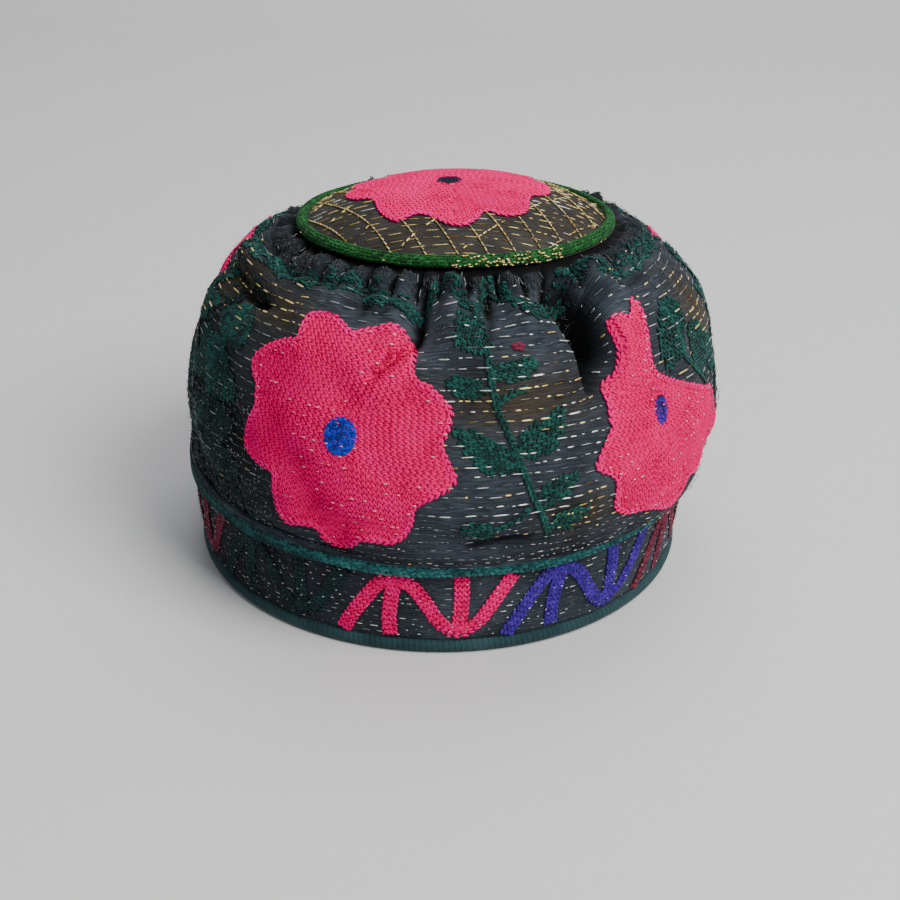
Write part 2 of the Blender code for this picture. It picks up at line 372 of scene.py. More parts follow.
def soft_relief(turn, climb):
    """How far the cloth stands out of the plain wall, pleats, puffs and slow waves together."""
    rise = -crease_depth(turn, climb)
    for middle, height, wide, tall, lift in SOFT_FORMS:
        away = around(turn, middle * DEGREE) / (wide * DEGREE)
        rise += lift * np.exp(-away ** 2 - ((climb - height) / tall) ** 2)
    rise -= FOOT_TUCK * np.exp(-((climb - 0.035) / 0.035) ** 2)
    calm = smooth_step(0.0, 0.10, climb) * smooth_step(1.0, 0.90, climb)
    for waves, climbs, place, lift in SLOW_WAVES:
        rise += calm * lift * np.sin(waves * turn + 2 * math.pi * climbs * climb + place)
    crest = pleat_crest(turn)
    uneven = 1 + 0.30 * np.sin(9 * turn + 0.8) * np.sin(4 * turn)
    shift = 0.008 * np.sin(19 * turn + 1.1)
    heads = smooth_step(0.880, 0.920, climb + shift) * smooth_step(0.992, 0.955, climb + shift)
    waist = np.exp(-((climb + shift - 0.885) / 0.016) ** 2)
    tails = smooth_step(0.66, 0.90, climb) * smooth_step(0.97, 0.90, climb)
    rise += heads * uneven * (PLEAT_CREST * crest ** 0.5 - PLEAT_CREASE)
    rise += smooth_step(0.94, 0.985, climb) * CORD_REST_RISE
    rise += tails * uneven * PLEAT_TAIL * (crest - 0.6) - PLEAT_WAIST * waist
    return rise


def wall_place(turn, climb, lift=0.0):
    """Points of the wall's outer face, lifted along the section's outward direction."""
    turn, climb = np.broadcast_arrays(np.asarray(turn, float), np.asarray(climb, float))
    values = wall_values(climb)
    radius, height = wall_profile(climb)
    step = 0.01
    low_radius, low_height = wall_profile(np.maximum(climb - step, 0))
    high_radius, high_height = wall_profile(np.minimum(climb + step, 1))
    along, up = high_radius - low_radius, high_height - low_height
    length = np.hypot(along, up)
    drawn_in = fold_depth(turn, climb) - soft_relief(turn, climb) - lift
    radius = radius - drawn_in * up / length
    height = height + drawn_in * along / length
    x, y = radius * np.sin(turn), -radius * np.cos(turn)
    tilt = math.tan(DISC_TIP_LEFT) * x - math.tan(DISC_TIP_BACK) * y
    places = np.stack((x + values[..., 2] * WALL_LEAN, y, height + values[..., 3] * tilt), -1)
    return places + BAND_MIDDLE


def wall_axes(turn, climb):
    """Directions round the cap, up the wall and out of it, at each place."""
    step = 0.003
    higher = np.minimum(climb + step, 1)
    lower = np.maximum(climb - step, 0)
    round_it = unit(wall_place(turn + step, climb) - wall_place(turn - step, climb))
    up_it = unit(wall_place(turn, higher) - wall_place(turn, lower))
    out = unit(np.cross(round_it, up_it))
    return round_it, unit(np.cross(out, round_it)), out


def band_place(turn, height, lift=0.0):
    """Points of the band's outer face at each height over the table."""
    turn, height = np.broadcast_arrays(np.asarray(turn, float), np.asarray(height, float))
    bottom = HEM_CORD_WIDTH + GAP
    top = BAND_TOP_HEIGHT - PIPING_WIDTH / 2 - GAP
    share = (height - bottom) / (top - bottom)
    radius = BAND_BOTTOM_RADIUS + (BAND_TOP_RADIUS - BAND_BOTTOM_RADIUS) * share
    radius = radius + BAND_BULGE * 4 * share * (1 - share) + lift
    radius = radius + 0.00022 * np.sin(9 * turn + 0.5) * np.sin(math.pi * np.clip(share, 0, 1))
    radius = radius + 0.00016 * np.sin(21 * turn + 140 * height)
    return np.stack((radius * np.sin(turn), -radius * np.cos(turn), height), -1) + BAND_MIDDLE


def band_axes(turn, height):
    round_it = round_way(turn)
    up_it = unit(band_place(turn, height + 0.001) - band_place(turn, height - 0.001))
    return round_it, up_it, unit(np.cross(round_it, up_it))


# The top cord's ring as sewn, a little inside the solid one and to its left
PANEL_SHIFT = -0.0010
TOP_CORD_RADIUS = 0.0524

# The wall's top edge, turned in under the panel
EDGE_TURNED_IN = 0.0030
EDGE_TURNED_UP = 0.0019

# How thick the dressed cloths are
WALL_THICKNESS = 0.0011
BAND_THICKNESS = 0.0022
PANEL_THICKNESS = 0.0012


WALL_FACE = (wall_place, wall_axes)
BAND_FACE = (band_place, band_axes)


def panel_place(x, y, lift=0.0):
    """Points of the top panel's face, from places on its flat round."""
    x, y = np.broadcast_arrays(np.asarray(x, float), np.asarray(y, float))
    reach = np.hypot(x, y) / DISC_RADIUS
    dome = DISC_DOME * (1 - reach ** DOME_FLATNESS)
    dome = dome + 0.00035 * np.sin(95 * x + 1.0) * np.sin(80 * y) + lift
    rise = DISC_HEIGHT + dome + math.tan(DISC_TIP_LEFT) * x - math.tan(DISC_TIP_BACK) * y
    return np.stack((x + WALL_LEAN + PANEL_SHIFT, y, rise), -1) + BAND_MIDDLE


def panel_axes(x, y):
    step = 0.0005
    right = unit(panel_place(x + step, y) - panel_place(x - step, y))
    back = unit(panel_place(x, y + step) - panel_place(x, y - step))
    out = unit(np.cross(right, back))
    return right, unit(np.cross(out, right)), out


def add_node(tree, kind, inputs=(), **settings):
    """A node with its settings, and its inputs by name or number, each a value or a socket to link."""
    node = tree.nodes.new(kind)
    for label, value in settings.items():
        setattr(node, label, value)
    for label, value in dict(inputs).items():
        if isinstance(value, bpy.types.NodeSocket):
            tree.links.new(value, node.inputs[label])
        else:
            node.inputs[label].default_value = value
    return node


# Materials

def new_material(name, roughness, metallic=0.0, sheen=0.0, shine=0.5):
    """A material with its node tree and its shader."""
    material = bpy.data.materials.new(name)
    material.use_nodes = True
    shader = material.node_tree.nodes["Principled BSDF"]
    shader.inputs["Roughness"].default_value = roughness
    shader.inputs["Metallic"].default_value = metallic
    shader.inputs["Sheen Weight"].default_value = sheen
    shader.inputs["Sheen Roughness"].default_value = 0.4
    shader.inputs["Specular IOR Level"].default_value = shine
    return material, material.node_tree, shader


def own_place(tree):
    return add_node(tree, "ShaderNodeTexCoord").outputs["Object"]


def cloth_place(tree):
    return add_node(tree, "ShaderNodeUVMap", uv_map="UVMap").outputs["UV"]


def attribute(tree, name):
    return add_node(tree, "ShaderNodeAttribute", attribute_name=name).outputs["Fac"]


def noise(tree, place, scale, detail):
    sizes = {"Vector": place, "Scale": scale, "Detail": detail}
    return add_node(tree, "ShaderNodeTexNoise", sizes).outputs["Fac"]


def threads(tree, place, direction, scale, distortion):
    sizes = {"Vector": place, "Scale": scale, "Distortion": distortion}
    wave = add_node(tree, "ShaderNodeTexWave", sizes, wave_type="BANDS", bands_direction=direction)
    return wave.outputs["Fac"]


def maths(tree, how, a, b):
    return add_node(tree, "ShaderNodeMath", {0: a, 1: b}, operation=how).outputs[0]


def ramp(tree, source, stops):
    node = add_node(tree, "ShaderNodeValToRGB", {"Fac": source})
    elements = node.color_ramp.elements
    while len(elements) < len(stops):
        elements.new(0.5)
    for element, (place, colour) in zip(elements, stops):
        element.position = place
        element.color = (*colour, 1)
    return node.outputs["Color"]


def mix(tree, factor, a, b):
    """Colour a where the factor is 0 and colour b where it is 1."""
    return add_node(tree, "ShaderNodeMix", {0: factor, 6: a, 7: b}, data_type="RGBA").outputs[2]


def finish_look(tree, shader, colour, height, strength, distance):
    """Links the colour to the shader, and the height as bump."""
    sizes = {"Height": height, "Strength": strength, "Distance": distance}
    bump = add_node(tree, "ShaderNodeBump", sizes)
    tree.links.new(bump.outputs["Normal"], shader.inputs["Normal"])
    tree.links.new(colour, shader.inputs["Base Color"])


def thread_material(name, dark, middle, light, roughness=0.75, sheen=0.06, shine=0.2):
    """Spun cotton thread: a twist along each stitch, and each stitch its own tone."""
    material, tree, shader = new_material(name, roughness, 0.0, sheen, shine)
    patches = noise(tree, own_place(tree), 90, 2)
    fibres = noise(tree, own_place(tree), 2600, 3)
    spread = maths(tree, "MULTIPLY", patches, 0.45)
    grain = maths(tree, "MULTIPLY", fibres, 0.35)
    own = maths(tree, "MULTIPLY", attribute(tree, "tone"), 0.55)
    total = maths(tree, "ADD", maths(tree, "ADD", spread, grain), own)
    colour = ramp(tree, total, ((0.38, dark), (0.62, middle), (0.92, light)))
    twist = threads(tree, cloth_place(tree), "DIAGONAL", 2.6, 1.2)
    finish_look(tree, shader, colour, maths(tree, "ADD", twist, fibres), 0.55, 0.00022)
    return material


def cloth_material():
    """Charcoal woven cloth, with a fine weave, worn lighter ribs and darker dusty patches, and painted
    shade taken from its 'deep' attribute.
    """
    material, tree, shader = new_material("charcoal woven cloth", 0.85, 0.0, 0.03, 0.15)
    across = cloth_place(tree)
    patches = noise(tree, own_place(tree), 38, 4)
    slubs = add_node(tree, "ShaderNodeMapping", {"Vector": across, "Scale": (160, 1500, 1)})
    streaks = noise(tree, slubs.outputs["Vector"], 1.0, 3)
    halved = maths(tree, "MULTIPLY", maths(tree, "ADD", patches, streaks), 0.5)
    charcoal = ramp(tree, halved, (
        (0.34, (0.008, 0.011, 0.015)),
        (0.50, (0.029, 0.037, 0.048)),
        (0.66, (0.066, 0.083, 0.104)),
    ))
    golden = ramp(tree, halved, ((0.34, (0.014, 0.011, 0.008)), (0.66, (0.062, 0.050, 0.035))))
    plain = mix(tree, attribute(tree, "warm"), charcoal, golden)
    # Painted shade: where 'deep' is high the cloth is mixed towards near black
    shaded = mix(tree, attribute(tree, "deep"), plain, (0.0012, 0.0014, 0.0018, 1))
    warp, weft = (threads(tree, across, direction, 560, 0.6) for direction in ("X", "Y"))
    height = maths(tree, "ADD", maths(tree, "MULTIPLY", warp, weft), streaks)
    finish_look(tree, shader, shaded, height, 0.5, 0.0003)
    return material


def strip_material(name, dark, light):
    """Flat metallic strip, brighter and duller from stitch to stitch."""
    material, tree, shader = new_material(name, 0.38, 0.55)
    colour = ramp(tree, attribute(tree, "tone"), ((0.1, dark), (0.9, light)))
    finish_look(tree, shader, colour, noise(tree, own_place(tree), 1400, 2), 0.5, 0.0002)
    return material


CLOTH = cloth_material()
PINK = thread_material("pink cotton", (0.50, 0.0, 0.055), (0.93, 0.0, 0.150), (1.0, 0.005, 0.25),
                       roughness=0.9, sheen=0.0, shine=0.05)
SEAM_TEAL = thread_material("seam teal cotton", (0.004, 0.036, 0.038), (0.010, 0.105, 0.105),
                            (0.040, 0.22, 0.21))
HEM_TEAL = thread_material("hem teal cotton", (0.003, 0.012, 0.015), (0.012, 0.040, 0.046),
                           (0.034, 0.090, 0.098))
TEAL = thread_material("teal cotton", (0.001, 0.018, 0.016), (0.003, 0.050, 0.042),
                       (0.012, 0.110, 0.090))
# On the band's wave at the left of the front this stands for teal darkened as painted shade
DARK_TEAL = thread_material("dark teal cotton", (0.002, 0.012, 0.014), (0.004, 0.030, 0.032),
                            (0.012, 0.070, 0.070))
# Teal darkened as painted shade, for the leaves and strokes at the left of the front
SHADED_TEAL = thread_material("teal cotton in painted shade", (0.001, 0.006, 0.007), (0.003, 0.015, 0.016),
                             (0.008, 0.040, 0.042))
GREEN = thread_material("leaf green cotton", (0.001, 0.024, 0.004), (0.003, 0.070, 0.010),
                        (0.016, 0.150, 0.030))
BLUE = thread_material("blue cotton", (0.001, 0.010, 0.22), (0.001, 0.028, 0.50),
                       (0.006, 0.070, 0.80))
VIOLET = thread_material("violet cotton", (0.014, 0.002, 0.10), (0.040, 0.006, 0.27),
                         (0.100, 0.030, 0.48))
NAVY = thread_material("navy cotton", (0.001, 0.002, 0.012), (0.003, 0.006, 0.030),
                       (0.010, 0.016, 0.060))
RED = thread_material("dark red cotton", (0.045, 0.003, 0.010), (0.13, 0.007, 0.028),
                      (0.26, 0.03, 0.075))
GREY = thread_material("grey cotton", (0.022, 0.028, 0.034), (0.08, 0.09, 0.105),
                       (0.30, 0.32, 0.34))
SILVER = strip_material("silver strip", (0.10, 0.11, 0.12), (0.98, 0.97, 0.93))
GOLD = strip_material("gold strip", (0.18, 0.11, 0.03), (1.0, 0.78, 0.30))
PALE_PINK = strip_material("strip showing through pink", (0.85, 0.03, 0.16), (1.0, 0.38, 0.48))


# Stitches, all sewn by one tree of nodes

def stitch_tree():
    """Puts one rounded stitch on each point, turned and sized by the point's own attributes."""
    tree = bpy.data.node_groups.new("sew stitches", "GeometryNodeTree")
    for label, way, kind in (
        ("Geometry", "INPUT", "Geometry"),
        ("Stitch sides", "INPUT", "Int"),
        ("Stitch rings", "INPUT", "Int"),
        ("Plumpness", "INPUT", "Float"),
        ("Thread", "INPUT", "Material"),
        ("Geometry", "OUTPUT", "Geometry"),
    ):
        tree.interface.new_socket(label, in_out=way, socket_type="NodeSocket" + kind)
    given = add_node(tree, "NodeGroupInput").outputs
    shape = {"Segments": given["Stitch sides"], "Rings": given["Stitch rings"], "Radius": 0.5}
    stitch = add_node(tree, "GeometryNodeMeshUVSphere", shape).outputs
    wrapping = {"Geometry": stitch["Mesh"], "Name": "UVMap", "Value": stitch["UV Map"]}
    wrap = add_node(tree, "GeometryNodeStoreNamedAttribute", wrapping, data_type="FLOAT2",
                    domain="CORNER")
    smooth = add_node(tree, "GeometryNodeSetShadeSmooth", {"Geometry": wrap.outputs["Geometry"]})
    along, out, size = (
        add_node(tree, "GeometryNodeInputNamedAttribute", {"Name": name}, data_type="FLOAT_VECTOR")
        for name in ("along", "out", "size")
    )
    ways = {"Primary Axis": along.outputs["Attribute"], "Secondary Axis": out.outputs["Attribute"]}
    turn = add_node(tree, "FunctionNodeAxesToRotation", ways, primary_axis="Z", secondary_axis="X")
    swelling = {0: size.outputs["Attribute"], "Scale": given["Plumpness"]}
    plump = add_node(tree, "ShaderNodeVectorMath", swelling, operation="SCALE")
    place = add_node(tree, "GeometryNodeInstanceOnPoints", {
        "Points": given["Geometry"],
        "Instance": smooth.outputs["Geometry"],
        "Rotation": turn.outputs["Rotation"],
        "Scale": plump.outputs["Vector"],
    })
    whole = add_node(tree, "GeometryNodeRealizeInstances", {"Geometry": place.outputs["Instances"]})
    dressing = {"Geometry": whole.outputs["Geometry"], "Material": given["Thread"]}
    dress = add_node(tree, "GeometryNodeSetMaterial", dressing)
    add_node(tree, "NodeGroupOutput", {"Geometry": dress.outputs["Geometry"]})
    return tree


STITCH_TREE = stitch_tree()


def input_name(tree, label):
    """The socket identifier that a modifier's input of this label is set by."""
    sockets = tree.interface.items_tree
    return next(s.identifier for s in sockets if s.name == label and s.in_out == "INPUT")


def finish_piece(obj, name, replaced=()):
    """Names a piece, puts it on the cap's one body, and hides the nodes that it stands for."""
    obj.name = name
    obj.data.name = name
    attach(obj, "root")
    if replaced:
        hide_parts(*replaced)


def store(mesh, name, kind, values):
    """Stores a value or a vector for each point of a mesh."""
    layer = mesh.attributes.new(name, kind, "POINT")
    field = "vector" if kind == "FLOAT_VECTOR" else "value"
    layer.data.foreach_set(field, np.ascontiguousarray(values, dtype=np.float32).ravel())


def evaluated_mesh(obj, modifier):
    """The object's mesh as its modifier makes it, with the modifier taken off."""
    graph = bpy.context.evaluated_depsgraph_get()
    mesh = bpy.data.meshes.new_from_object(obj.evaluated_get(graph))
    obj.modifiers.remove(modifier)
    return mesh


# Chain stitch of each kind: how long a link is and how wide a row is, in metres
PETAL_LINK = 0.0021
PETAL_ROW = 0.0018
FINE_PETAL_ROW = 0.0015
PETAL_EDGE_LINK = 0.0022
PETAL_EDGE_ROW = 0.0019
EYE_LINK = 0.0016
EYE_ROW = 0.0014
STEM_LINK = 0.0021
STEM_ROW = 0.0020
LEAF_LINK = 0.0019
LEAF_ROW = 0.0016
STROKE_LINK = 0.0019
STROKE_ROW = 0.0017
GATHER_LINK = 0.0018
GATHER_ROW = 0.0017
CORD_LINK = 0.0019
PIPING_ROW = 0.0019
TOP_CORD_ROW = 0.0016
WAVE_LINK = 0.0020
WAVE_ROW = 0.0018
# Where the rows of the rough strokes and of the band's waves lie, across the stroke
STROKE_ROW_OFFSETS = (-0.0008, 0.0008)
WAVE_ROW_OFFSETS = (-0.0015, 0.0, 0.0015)

# How far the middle of a stitch lies over the cloth
LOW_LIFT = 0.0003
USUAL_LIFT = 0.0004
EYE_LIFT = 0.0006
# How much painted shade darkens a thread at the bottom of a crease
CREASE_DIMMING = 0.6
# A flower's edge row lies this share of the way from its heart to its outline
EDGE_ROW_SHARE = 0.985
# Where a metallic strip passes over a stitch or lies flat in the cloth, and how thick it is
STRIP_OVER = 0.0009
STRIP_FLAT = 0.0001
STRIP_THICKNESS = 0.00036
# The wall's strips are short below this climb, and longer above it
SHORT_STRIPS_CLIMB = 0.24
# Lengths of strips and of the gaps between them, in metres: least, spread, and power of the draw
SHORT_STRIPS = (0.0007, 0.0026, 1.5)
LONG_STRIPS = (0.0012, 0.0050, 1.5)
WALL_GAPS = (0.0002, 0.0024, 2.5)
BAND_STRIPS = (0.0009, 0.0030, 1.6)
BAND_GAPS = (0.0010, 0.0026, 1.4)
PANEL_STRIPS = (0.0016, 0.0056, 1.3)
PANEL_GAPS = (0.0003, 0.0024, 2.0)
# How far apart the rows of strips are
SHORT_STRIP_ROWS = 0.0027
LONG_STRIP_ROWS = 0.0033
BAND_STRIP_ROWS = 0.0021
PANEL_STRIP_ROWS = 0.0037


class Stitches:
    """Places, directions and sizes of the stitches that one piece is made of."""

    def __init__(self):
        self.rows = []

    def add(self, place, along, out, length, width, height, tone):
        count = len(place)
        size = np.stack([np.broadcast_to(v, count) for v in (height, width, length)], -1)
        tones = np.broadcast_to(tone, count)
        self.rows.append((place, along, out, size, tones))

    def sew(self, name, slot, material, sides=4, rings=3):
        place, along, out, size, tone = [np.concatenate(part) for part in zip(*self.rows)]
        points = bpy.data.meshes.new(name + "_points")
        points.from_pydata(place.tolist(), [], [])
        for label, values in (("along", along), ("out", out), ("size", size)):
            store(points, label, "FLOAT_VECTOR", values)
        store(points, "tone", "FLOAT", tone)
        obj = bpy.data.objects.new(name, points)
        bpy.context.scene.collection.objects.link(obj)
        sewing = obj.modifiers.new("sewing", "NODES")
        sewing.node_group = STITCH_TREE
        given = {"Stitch sides": sides, "Stitch rings": rings, "Plumpness": 1.0, "Thread": material}
        for label, value in given.items():
            sewing[input_name(STITCH_TREE, label)] = value
        obj.data = evaluated_mesh(obj, sewing)
        bpy.data.meshes.remove(points)
        for label in ("along", "out", "size"):
            spare = obj.data.attributes.get(label)
            if spare:
                obj.data.attributes.remove(spare)
        finish_piece(obj, name)


def chain_links(stitches, place, along, out, pitch, width, chance, tone=0.5, spread=0.25):
    """A row of chain stitch: two slanted strands to each link."""
    side = np.cross(out, along)
    count = len(place)
    for sign in (-1, 1):
        slant = 0.34 + 0.14 * chance.random(count)
        direction = unit(along + sign * side * slant[:, None])
        shifted = place + sign * side * width * 0.24
        tones = tone + spread * (chance.random(count) - 0.5)
        length = pitch * (1.28 + 0.22 * chance.random(count))
        stitches.add(shifted, direction, out, length, width * 0.68, width * 0.38, tones)


def outline_curve(points, steps=6, closed=True):
    """A smooth line through the points of a table."""
    points = np.asarray(points, float)
    count = len(points)
    t = np.linspace(0, 1, steps, endpoint=False)[:, None]
    places = []
    for i in range(count if closed else count - 1):
        near = np.arange(i - 1, i + 3)
        a, b, c, d = points[near % count if closed else np.clip(near, 0, count - 1)]
        bend = (c - a) * t + (2 * a - 5 * b + 4 * c - d) * t ** 2 + (3 * b - a - 3 * c + d) * t ** 3
        places.append(b + 0.5 * bend)
    if not closed:
        places.append(points[-1:])
    return np.concatenate(places)


def lengths_along(line):
    steps = np.linalg.norm(np.diff(line, axis=0), axis=1)
    return np.append(0.0, np.cumsum(steps))


def even_steps(line, lengths, pitch):
    """Places a pitch apart along a line whose points have these lengths along it."""
    count = max(int(round(lengths[-1] / pitch)), 1)
    wanted = (np.arange(count) + 0.5) * lengths[-1] / count
    return np.stack([np.interp(wanted, lengths, line[:, k]) for k in range(line.shape[1])], -1)


class Ground:
    """A face of the cap to sew on, with flat metres (across, up) round a middle."""

    def __init__(self, place, axes, flat_to_own):
        self.place = place
        self.axes = axes
        self.flat_to_own = flat_to_own

    def at(self, flat, lift=0.0):
        own = self.flat_to_own(flat)
        return self.place(own[:, 0], own[:, 1], lift)

    def directions(self, flat):
        own = self.flat_to_own(flat)
        return self.axes(own[:, 0], own[:, 1])

    # Painted shade from the wall's creases, for the stitches sewn there; none on the band or panel
    def shade(self, flat):
        own = self.flat_to_own(flat)
        if self.place is wall_place:
            return crease_shade(own[:, 0], own[:, 1])
        return np.zeros(len(own))


def wall_ground(middle_turn, middle_climb, mirror=1.0):
    """Metres across and up round a middle of the wall. Across shrinks with the wall's radius."""

    def flat_to_own(flat):
        climb = np.clip(middle_climb + flat[:, 1] / WALL_LENGTH, 0, 1)
        radius = wall_profile(climb)[0]
        turn = middle_turn * DEGREE + mirror * flat[:, 0] / radius
        return np.stack((turn, climb), -1)

    return Ground(wall_place, wall_axes, flat_to_own)


def own_to_flat(table, middle):
    """Turns in degrees and climbs, as metres across and up round a middle of the wall."""
    table = np.asarray(table, float)
    radius = wall_profile(table[:, 1])[0]
    across = (table[:, 0] - middle[0]) * DEGREE * radius
    return np.stack((across, (table[:, 1] - middle[1]) * WALL_LENGTH), -1)


def band_ground():
    def flat_to_own(flat):
        return np.stack((flat[:, 0] / BAND_BOTTOM_RADIUS, flat[:, 1]), -1)

    return Ground(band_place, band_axes, flat_to_own)


def panel_ground():
    return Ground(panel_place, panel_axes, lambda flat: flat)


def sew_line(stitches, ground, line, pitch, width, lift, chance, offsets=(0.0,), tone=0.5,
             spread=0.3):
    """Rows of chain stitch that follow a line, side by side."""
    flat = even_steps(line, lengths_along(line), pitch)
    heading = unit(np.gradient(flat, axis=0)) if len(flat) > 1 else unit(line[-1:] - line[:1])
    across = np.stack((-heading[:, 1], heading[:, 0]), -1)
    for offset in offsets:
        wander = 0.10 * width * (chance.random(len(flat)) - 0.5)
        shifted = flat + across * (offset + wander)[:, None]
        round_it, up_it, out = ground.directions(shifted)
        along = unit(round_it * heading[:, :1] + up_it * heading[:, 1:])
        tones = tone - CREASE_DIMMING * ground.shade(shifted)
        place = ground.at(shifted, lift)
        chain_links(stitches, place, along, out, pitch, width, chance, tones, spread)


def sew_fill(stitches, ground, outline, pitch, row_gap, lift, chance, angle=0.0, edge=0.0010,
             tone=0.45, spread=0.4, hole=None, zones=None, zone=0):
    """Rows of chain stitch that fill an outline, or one zone of it, all in one direction."""
    heading = np.array((math.cos(angle), math.sin(angle)))
    across = np.array((-heading[1], heading[0]))
    along_reach = outline @ heading
    across_reach = outline @ across
    for row in np.arange(across_reach.min() + row_gap / 2, across_reach.max(), row_gap):
        start = along_reach.min() + pitch * chance.random()
        steps = np.arange(start, along_reach.max(), pitch)
        wander = 0.12 * row_gap * np.sin(steps / 0.006 + row / 0.004)
        flat = steps[:, None] * heading + (row + wander)[:, None] * across
        kept = inside(outline, flat) & (edge_distance(outline, flat) > edge)
        if hole is not None:
            kept &= np.linalg.norm((flat - hole[:2]) / hole[2:], axis=1) > 1
        if zones is not None:
            away = np.linalg.norm(flat[:, None] - zones[None, :, :2], axis=2)
            kept &= away.argmin(1) == zone
        flat = flat[kept]
        if not len(flat):
            continue
        round_it, up_it, out = ground.directions(flat)
        along = unit(round_it * heading[0] + up_it * heading[1])
        tones = tone - CREASE_DIMMING * ground.shade(flat)
        chain_links(stitches, ground.at(flat, lift), along, out, pitch, row_gap, chance, tones, spread)


def scatter(stitches, face, turn, height, lift, size, chance, half_turns=1, upright=1.0):
    """Short stitches at places of the wall's or the band's face, each leaning its own way."""
    place_on, axes_on = face
    round_it, up_it, out = axes_on(turn, height)
    lean = half_turns * math.pi * chance.random((len(turn), 1))
    along = unit(round_it * np.cos(lean) + up_it * np.sin(lean) * upright)
    stitches.add(place_on(turn, height, lift), along, out, *size, chance.random(len(turn)))


def mesh_piece(name, places, faces, material, uvs=None):
    mesh = bpy.data.meshes.new(name)
    mesh.from_pydata([tuple(p) for p in places], [], faces)
    mesh.materials.append(material)
    mesh.polygons.foreach_set("use_smooth", [True] * len(mesh.polygons))
    if uvs is not None:
        layer = mesh.uv_layers.new(name="UVMap")
        layer.data.foreach_set("uv", np.asarray(uvs, dtype=np.float32).ravel())
    obj = bpy.data.objects.new(name, mesh)
    bpy.context.scene.collection.objects.link(obj)
    return obj


def ring_cloth(name, places, round_length, heights):
    """Cloth in a ring from rows of places, mapped in metres round it and up it."""
    rows, columns = places.shape[:2]
    faces, uvs = [], []
    for j in range(rows - 1):
        low, high = j * columns, (j + 1) * columns
        for i in range(columns):
            k = (i + 1) % columns
            left, right = round_length * i / columns, round_length * (i + 1) / columns
            faces.append((low + i, low + k, high + k, high + i))
            uvs += [(left, heights[j]), (right, heights[j])]
            uvs += [(right, heights[j + 1]), (left, heights[j + 1])]
    return mesh_piece(name, places.reshape(-1, 3), faces, CLOTH, uvs)


def disc_faces(rings, columns):
    """Faces of a round: a fan about point 0, then rings of squares."""
    faces = []
    for i in range(columns):
        k = (i + 1) % columns
        faces.append((0, 1 + i, 1 + k))
        for j in range(rings - 1):
            inner, outer = 1 + j * columns, 1 + (j + 1) * columns
            faces.append((inner + i, outer + i, outer + k, inner + k))
    return faces


def thicken(obj, thickness):
    cloth = obj.modifiers.new("cloth", "SOLIDIFY")
    cloth.thickness = thickness
    cloth.offset = -1
    obj.data = evaluated_mesh(obj, cloth)


def paint(obj, name, values):
    """Stores one value for each point of a thickened cloth's outer face, and 0 on its inner face."""
    values = np.ravel(values)
    spare = np.zeros(len(obj.data.vertices) - len(values))
    store(obj.data, name, "FLOAT", np.append(values, spare))


# Where the metallic rows turn from silver to gold: turn, climb, half width, half height
GOLD_PATCHES = (
    (14.0, 0.560, 15.0, 0.085),
    (27.0, 0.200, 8.0, 0.060),
    (-70.0, 0.750, 18.0, 0.120),
    (-45.0, 0.740, 9.0, 0.060),
    (-60.0, 0.950, 6.0, 0.020),
    (70.0, 0.640, 8.0, 0.160),
    (105.0, 0.300, 12.0, 0.080),
    (150.0, 0.600, 12.0, 0.080),
    (215.0, 0.400, 14.0, 0.080),
    (275.0, 0.620, 10.0, 0.100),
)


def left_shade(turn, middle):
    """How much painted shade the band and the piping take at the left of the front, 0 to 1."""
    return np.exp(-np.abs(around(turn, middle * DEGREE) / (30 * DEGREE)) ** 3)


def side_shade_share(turn, climb):
    """How near black the painted shade beside the front flower makes the wall, 0 to 1."""
    across = around(turn, SIDE_SHADE_MIDDLE[0] * DEGREE) / (SIDE_SHADE_REACH[0] * DEGREE)
    up = (climb - SIDE_SHADE_MIDDLE[1]) / SIDE_SHADE_REACH[1]
    return 0.93 * np.exp(-np.abs(across) ** 4 - np.abs(up) ** 3)


def gold_share(turn_degrees, climb):
    """How golden the wall's cloth is at each place, 0 to 1."""
    share = np.zeros_like(turn_degrees)
    for middle, height, wide, tall in GOLD_PATCHES:
        away = ((turn_degrees - middle + 180) % 360 - 180) / wide
        share += np.exp(-away ** 2 - ((climb - height) / tall) ** 2)
    return np.clip(share, 0, 1)


def make_wall_cloth():
    """The gathered wall, its top edge turned in and up to the top panel's underside."""
    columns, rows = 640, 62
    turns = full_turn(columns)
    shares = np.linspace(0, 1, rows)
    climbs = shares - 0.03 * np.sin(2 * math.pi * shares)
    turn_grid, climb_grid = np.meshgrid(turns, climbs)
    places = wall_place(turn_grid, climb_grid)
    turned_in = places[-1:] - EDGE_TURNED_IN * outward_way(turns) + (0, 0, EDGE_TURNED_UP)
    heights = np.append(climbs * WALL_LENGTH, WALL_LENGTH + EDGE_TURNED_IN)
    places = np.concatenate((places, turned_in))
    obj = ring_cloth("wall_cloth", places, 2 * math.pi * USUAL_RADIUS, heights)
    thicken(obj, WALL_THICKNESS)
    # Painted shade in the creases, the deepest fold, between the pleats, under the top cord and beside
    # the front flower, and black on the turned-in edge; the foot is also made a little darker
    shade = np.maximum(crease_shade(turn_grid, climb_grid), side_shade_share(turn_grid, climb_grid))
    paint(obj, "deep", np.append(shade, np.ones(columns)))
    paint(obj, "warm", np.append(gold_share(turn_grid / DEGREE, climb_grid), np.zeros(columns)))
    finish_piece(obj, "wall_cloth", ("side_wall",))


def make_band_cloth():
    columns, rows = 264, 14
    heights = np.linspace(0.0042, BAND_TOP_HEIGHT - 0.0006, rows)
    turn_grid, height_grid = np.meshgrid(full_turn(columns), heights)
    places = band_place(turn_grid, height_grid)
    obj = ring_cloth("band_cloth", places, 2 * math.pi * BAND_BOTTOM_RADIUS, heights)
    thicken(obj, BAND_THICKNESS)
    # Painted shade towards the left of the front; the whole band is also made a little darker
    paint(obj, "deep", 0.15 + 0.6 * left_shade(turn_grid, -58))
    finish_piece(obj, "band_cloth", ("band",))


